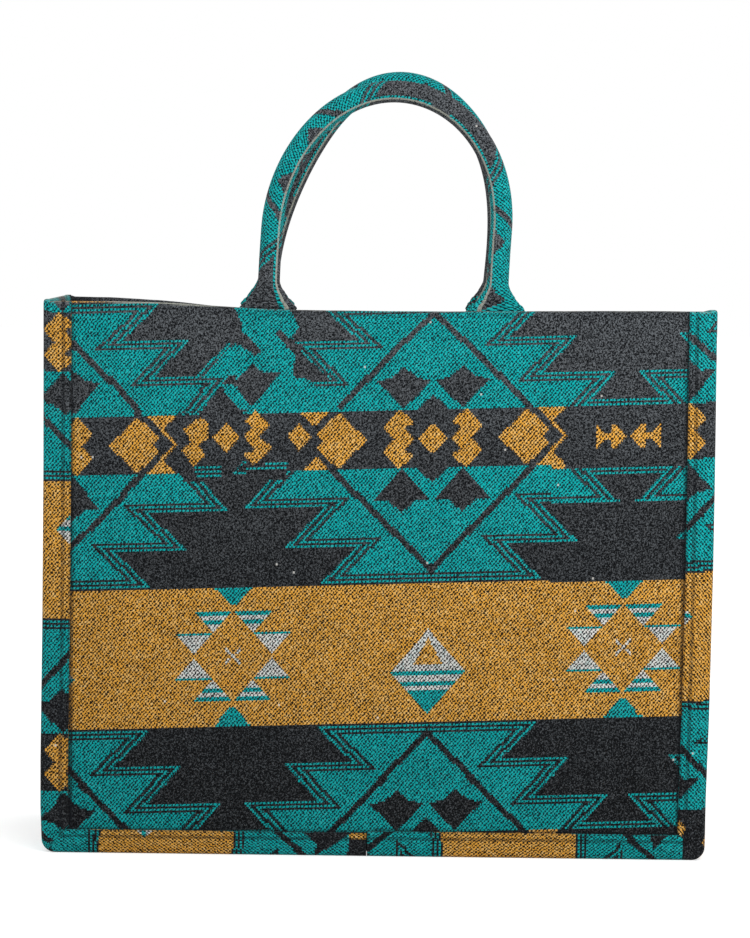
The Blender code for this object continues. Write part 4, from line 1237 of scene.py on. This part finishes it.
class TOTE_OT_stage(bpy.types.Operator):
    """Floor, camera and lights"""
    bl_idname = "tote.stage"
    bl_label = "Stage"

    def execute(self, context):
        stage = context.scene.tote_stage
        mesh = bpy.data.meshes.new("floor")
        reach = FLOOR_REACH
        corners = [(-reach, -reach, 0.0), (reach, -reach, 0.0), (reach, reach, 0.0), (-reach, reach, 0.0)]
        mesh.from_pydata(corners, [], [(0, 1, 2, 3)])
        mesh.materials.append(floor_material())
        floor = linked("floor", mesh)
        studio = Recipe(bpy.data.worlds.new("studio"), "Background")
        light = studio.seen() * (1.0 - stage.sky) + stage.sky
        context.scene.world = studio.finish(color=(1.0, 1.0, 1.0, 1.0), strength=light)
        lamp = bpy.data.lights.new("key", "AREA")
        lamp.energy = stage.key
        lamp.shape = "RECTANGLE"
        lamp.size, lamp.size_y = LAMP_SIZE
        key = linked("key", lamp)
        key.location = stage.key_place
        key.rotation_euler = (Vector(LAMP_AIM) - key.location).to_track_quat("-Z", "Y").to_euler()
        camera_data = bpy.data.cameras.new("camera")
        camera_data.lens = stage.lens
        camera_data.sensor_fit = "VERTICAL"
        camera_data.sensor_width = camera_data.sensor_height = SENSOR
        camera_data.clip_end = 60.0
        camera = linked("camera", camera_data)
        turn = Matrix.Rotation(math.pi / 2 - stage.pitch, 3, "X") @ Matrix.Rotation(stage.roll, 3, "Z")
        camera.rotation_euler = turn.to_euler()
        camera.location = stage.camera_place
        context.scene.camera = camera
        context.scene.view_settings.view_transform = "Standard"
        return {"FINISHED"}


class TOTE_PT_tools(bpy.types.Panel):
    """Lists the steps of building the bag"""
    bl_idname = "TOTE_PT_tools"
    bl_label = "Tote"
    bl_space_type = "VIEW_3D"
    bl_region_type = "UI"
    bl_category = "Tote"

    def draw(self, context):
        for operator in OPERATORS:
            self.layout.operator(operator.bl_idname)


GROUPS = {"tote_shape": ToteShape, "tote_colours": ToteColours, "tote_stage": ToteStage}
OPERATORS = (TOTE_OT_stage, TOTE_OT_panels, TOTE_OT_gussets, TOTE_OT_handles, TOTE_OT_lining,
             TOTE_OT_hidden_parts)


def register():
    for group in GROUPS.values():
        bpy.utils.register_class(group)
    for name, group in GROUPS.items():
        setattr(bpy.types.Scene, name, bpy.props.PointerProperty(type=group))
    for operator in OPERATORS:
        bpy.utils.register_class(operator)
    bpy.utils.register_class(TOTE_PT_tools)


def unregister():
    bpy.utils.unregister_class(TOTE_PT_tools)
    for operator in reversed(OPERATORS):
        bpy.utils.unregister_class(operator)
    for name, group in reversed(list(GROUPS.items())):
        delattr(bpy.types.Scene, name)
        bpy.utils.unregister_class(group)


def main():
    register()
    woven_material(bpy.context.scene.tote_colours)
    bpy.ops.tote.stage()
    bpy.ops.tote.panels()
    bpy.ops.tote.gussets()
    bpy.ops.tote.handles()
    bpy.ops.tote.lining()
    bpy.ops.tote.hidden_parts()


if __name__ == "__main__":
    main()
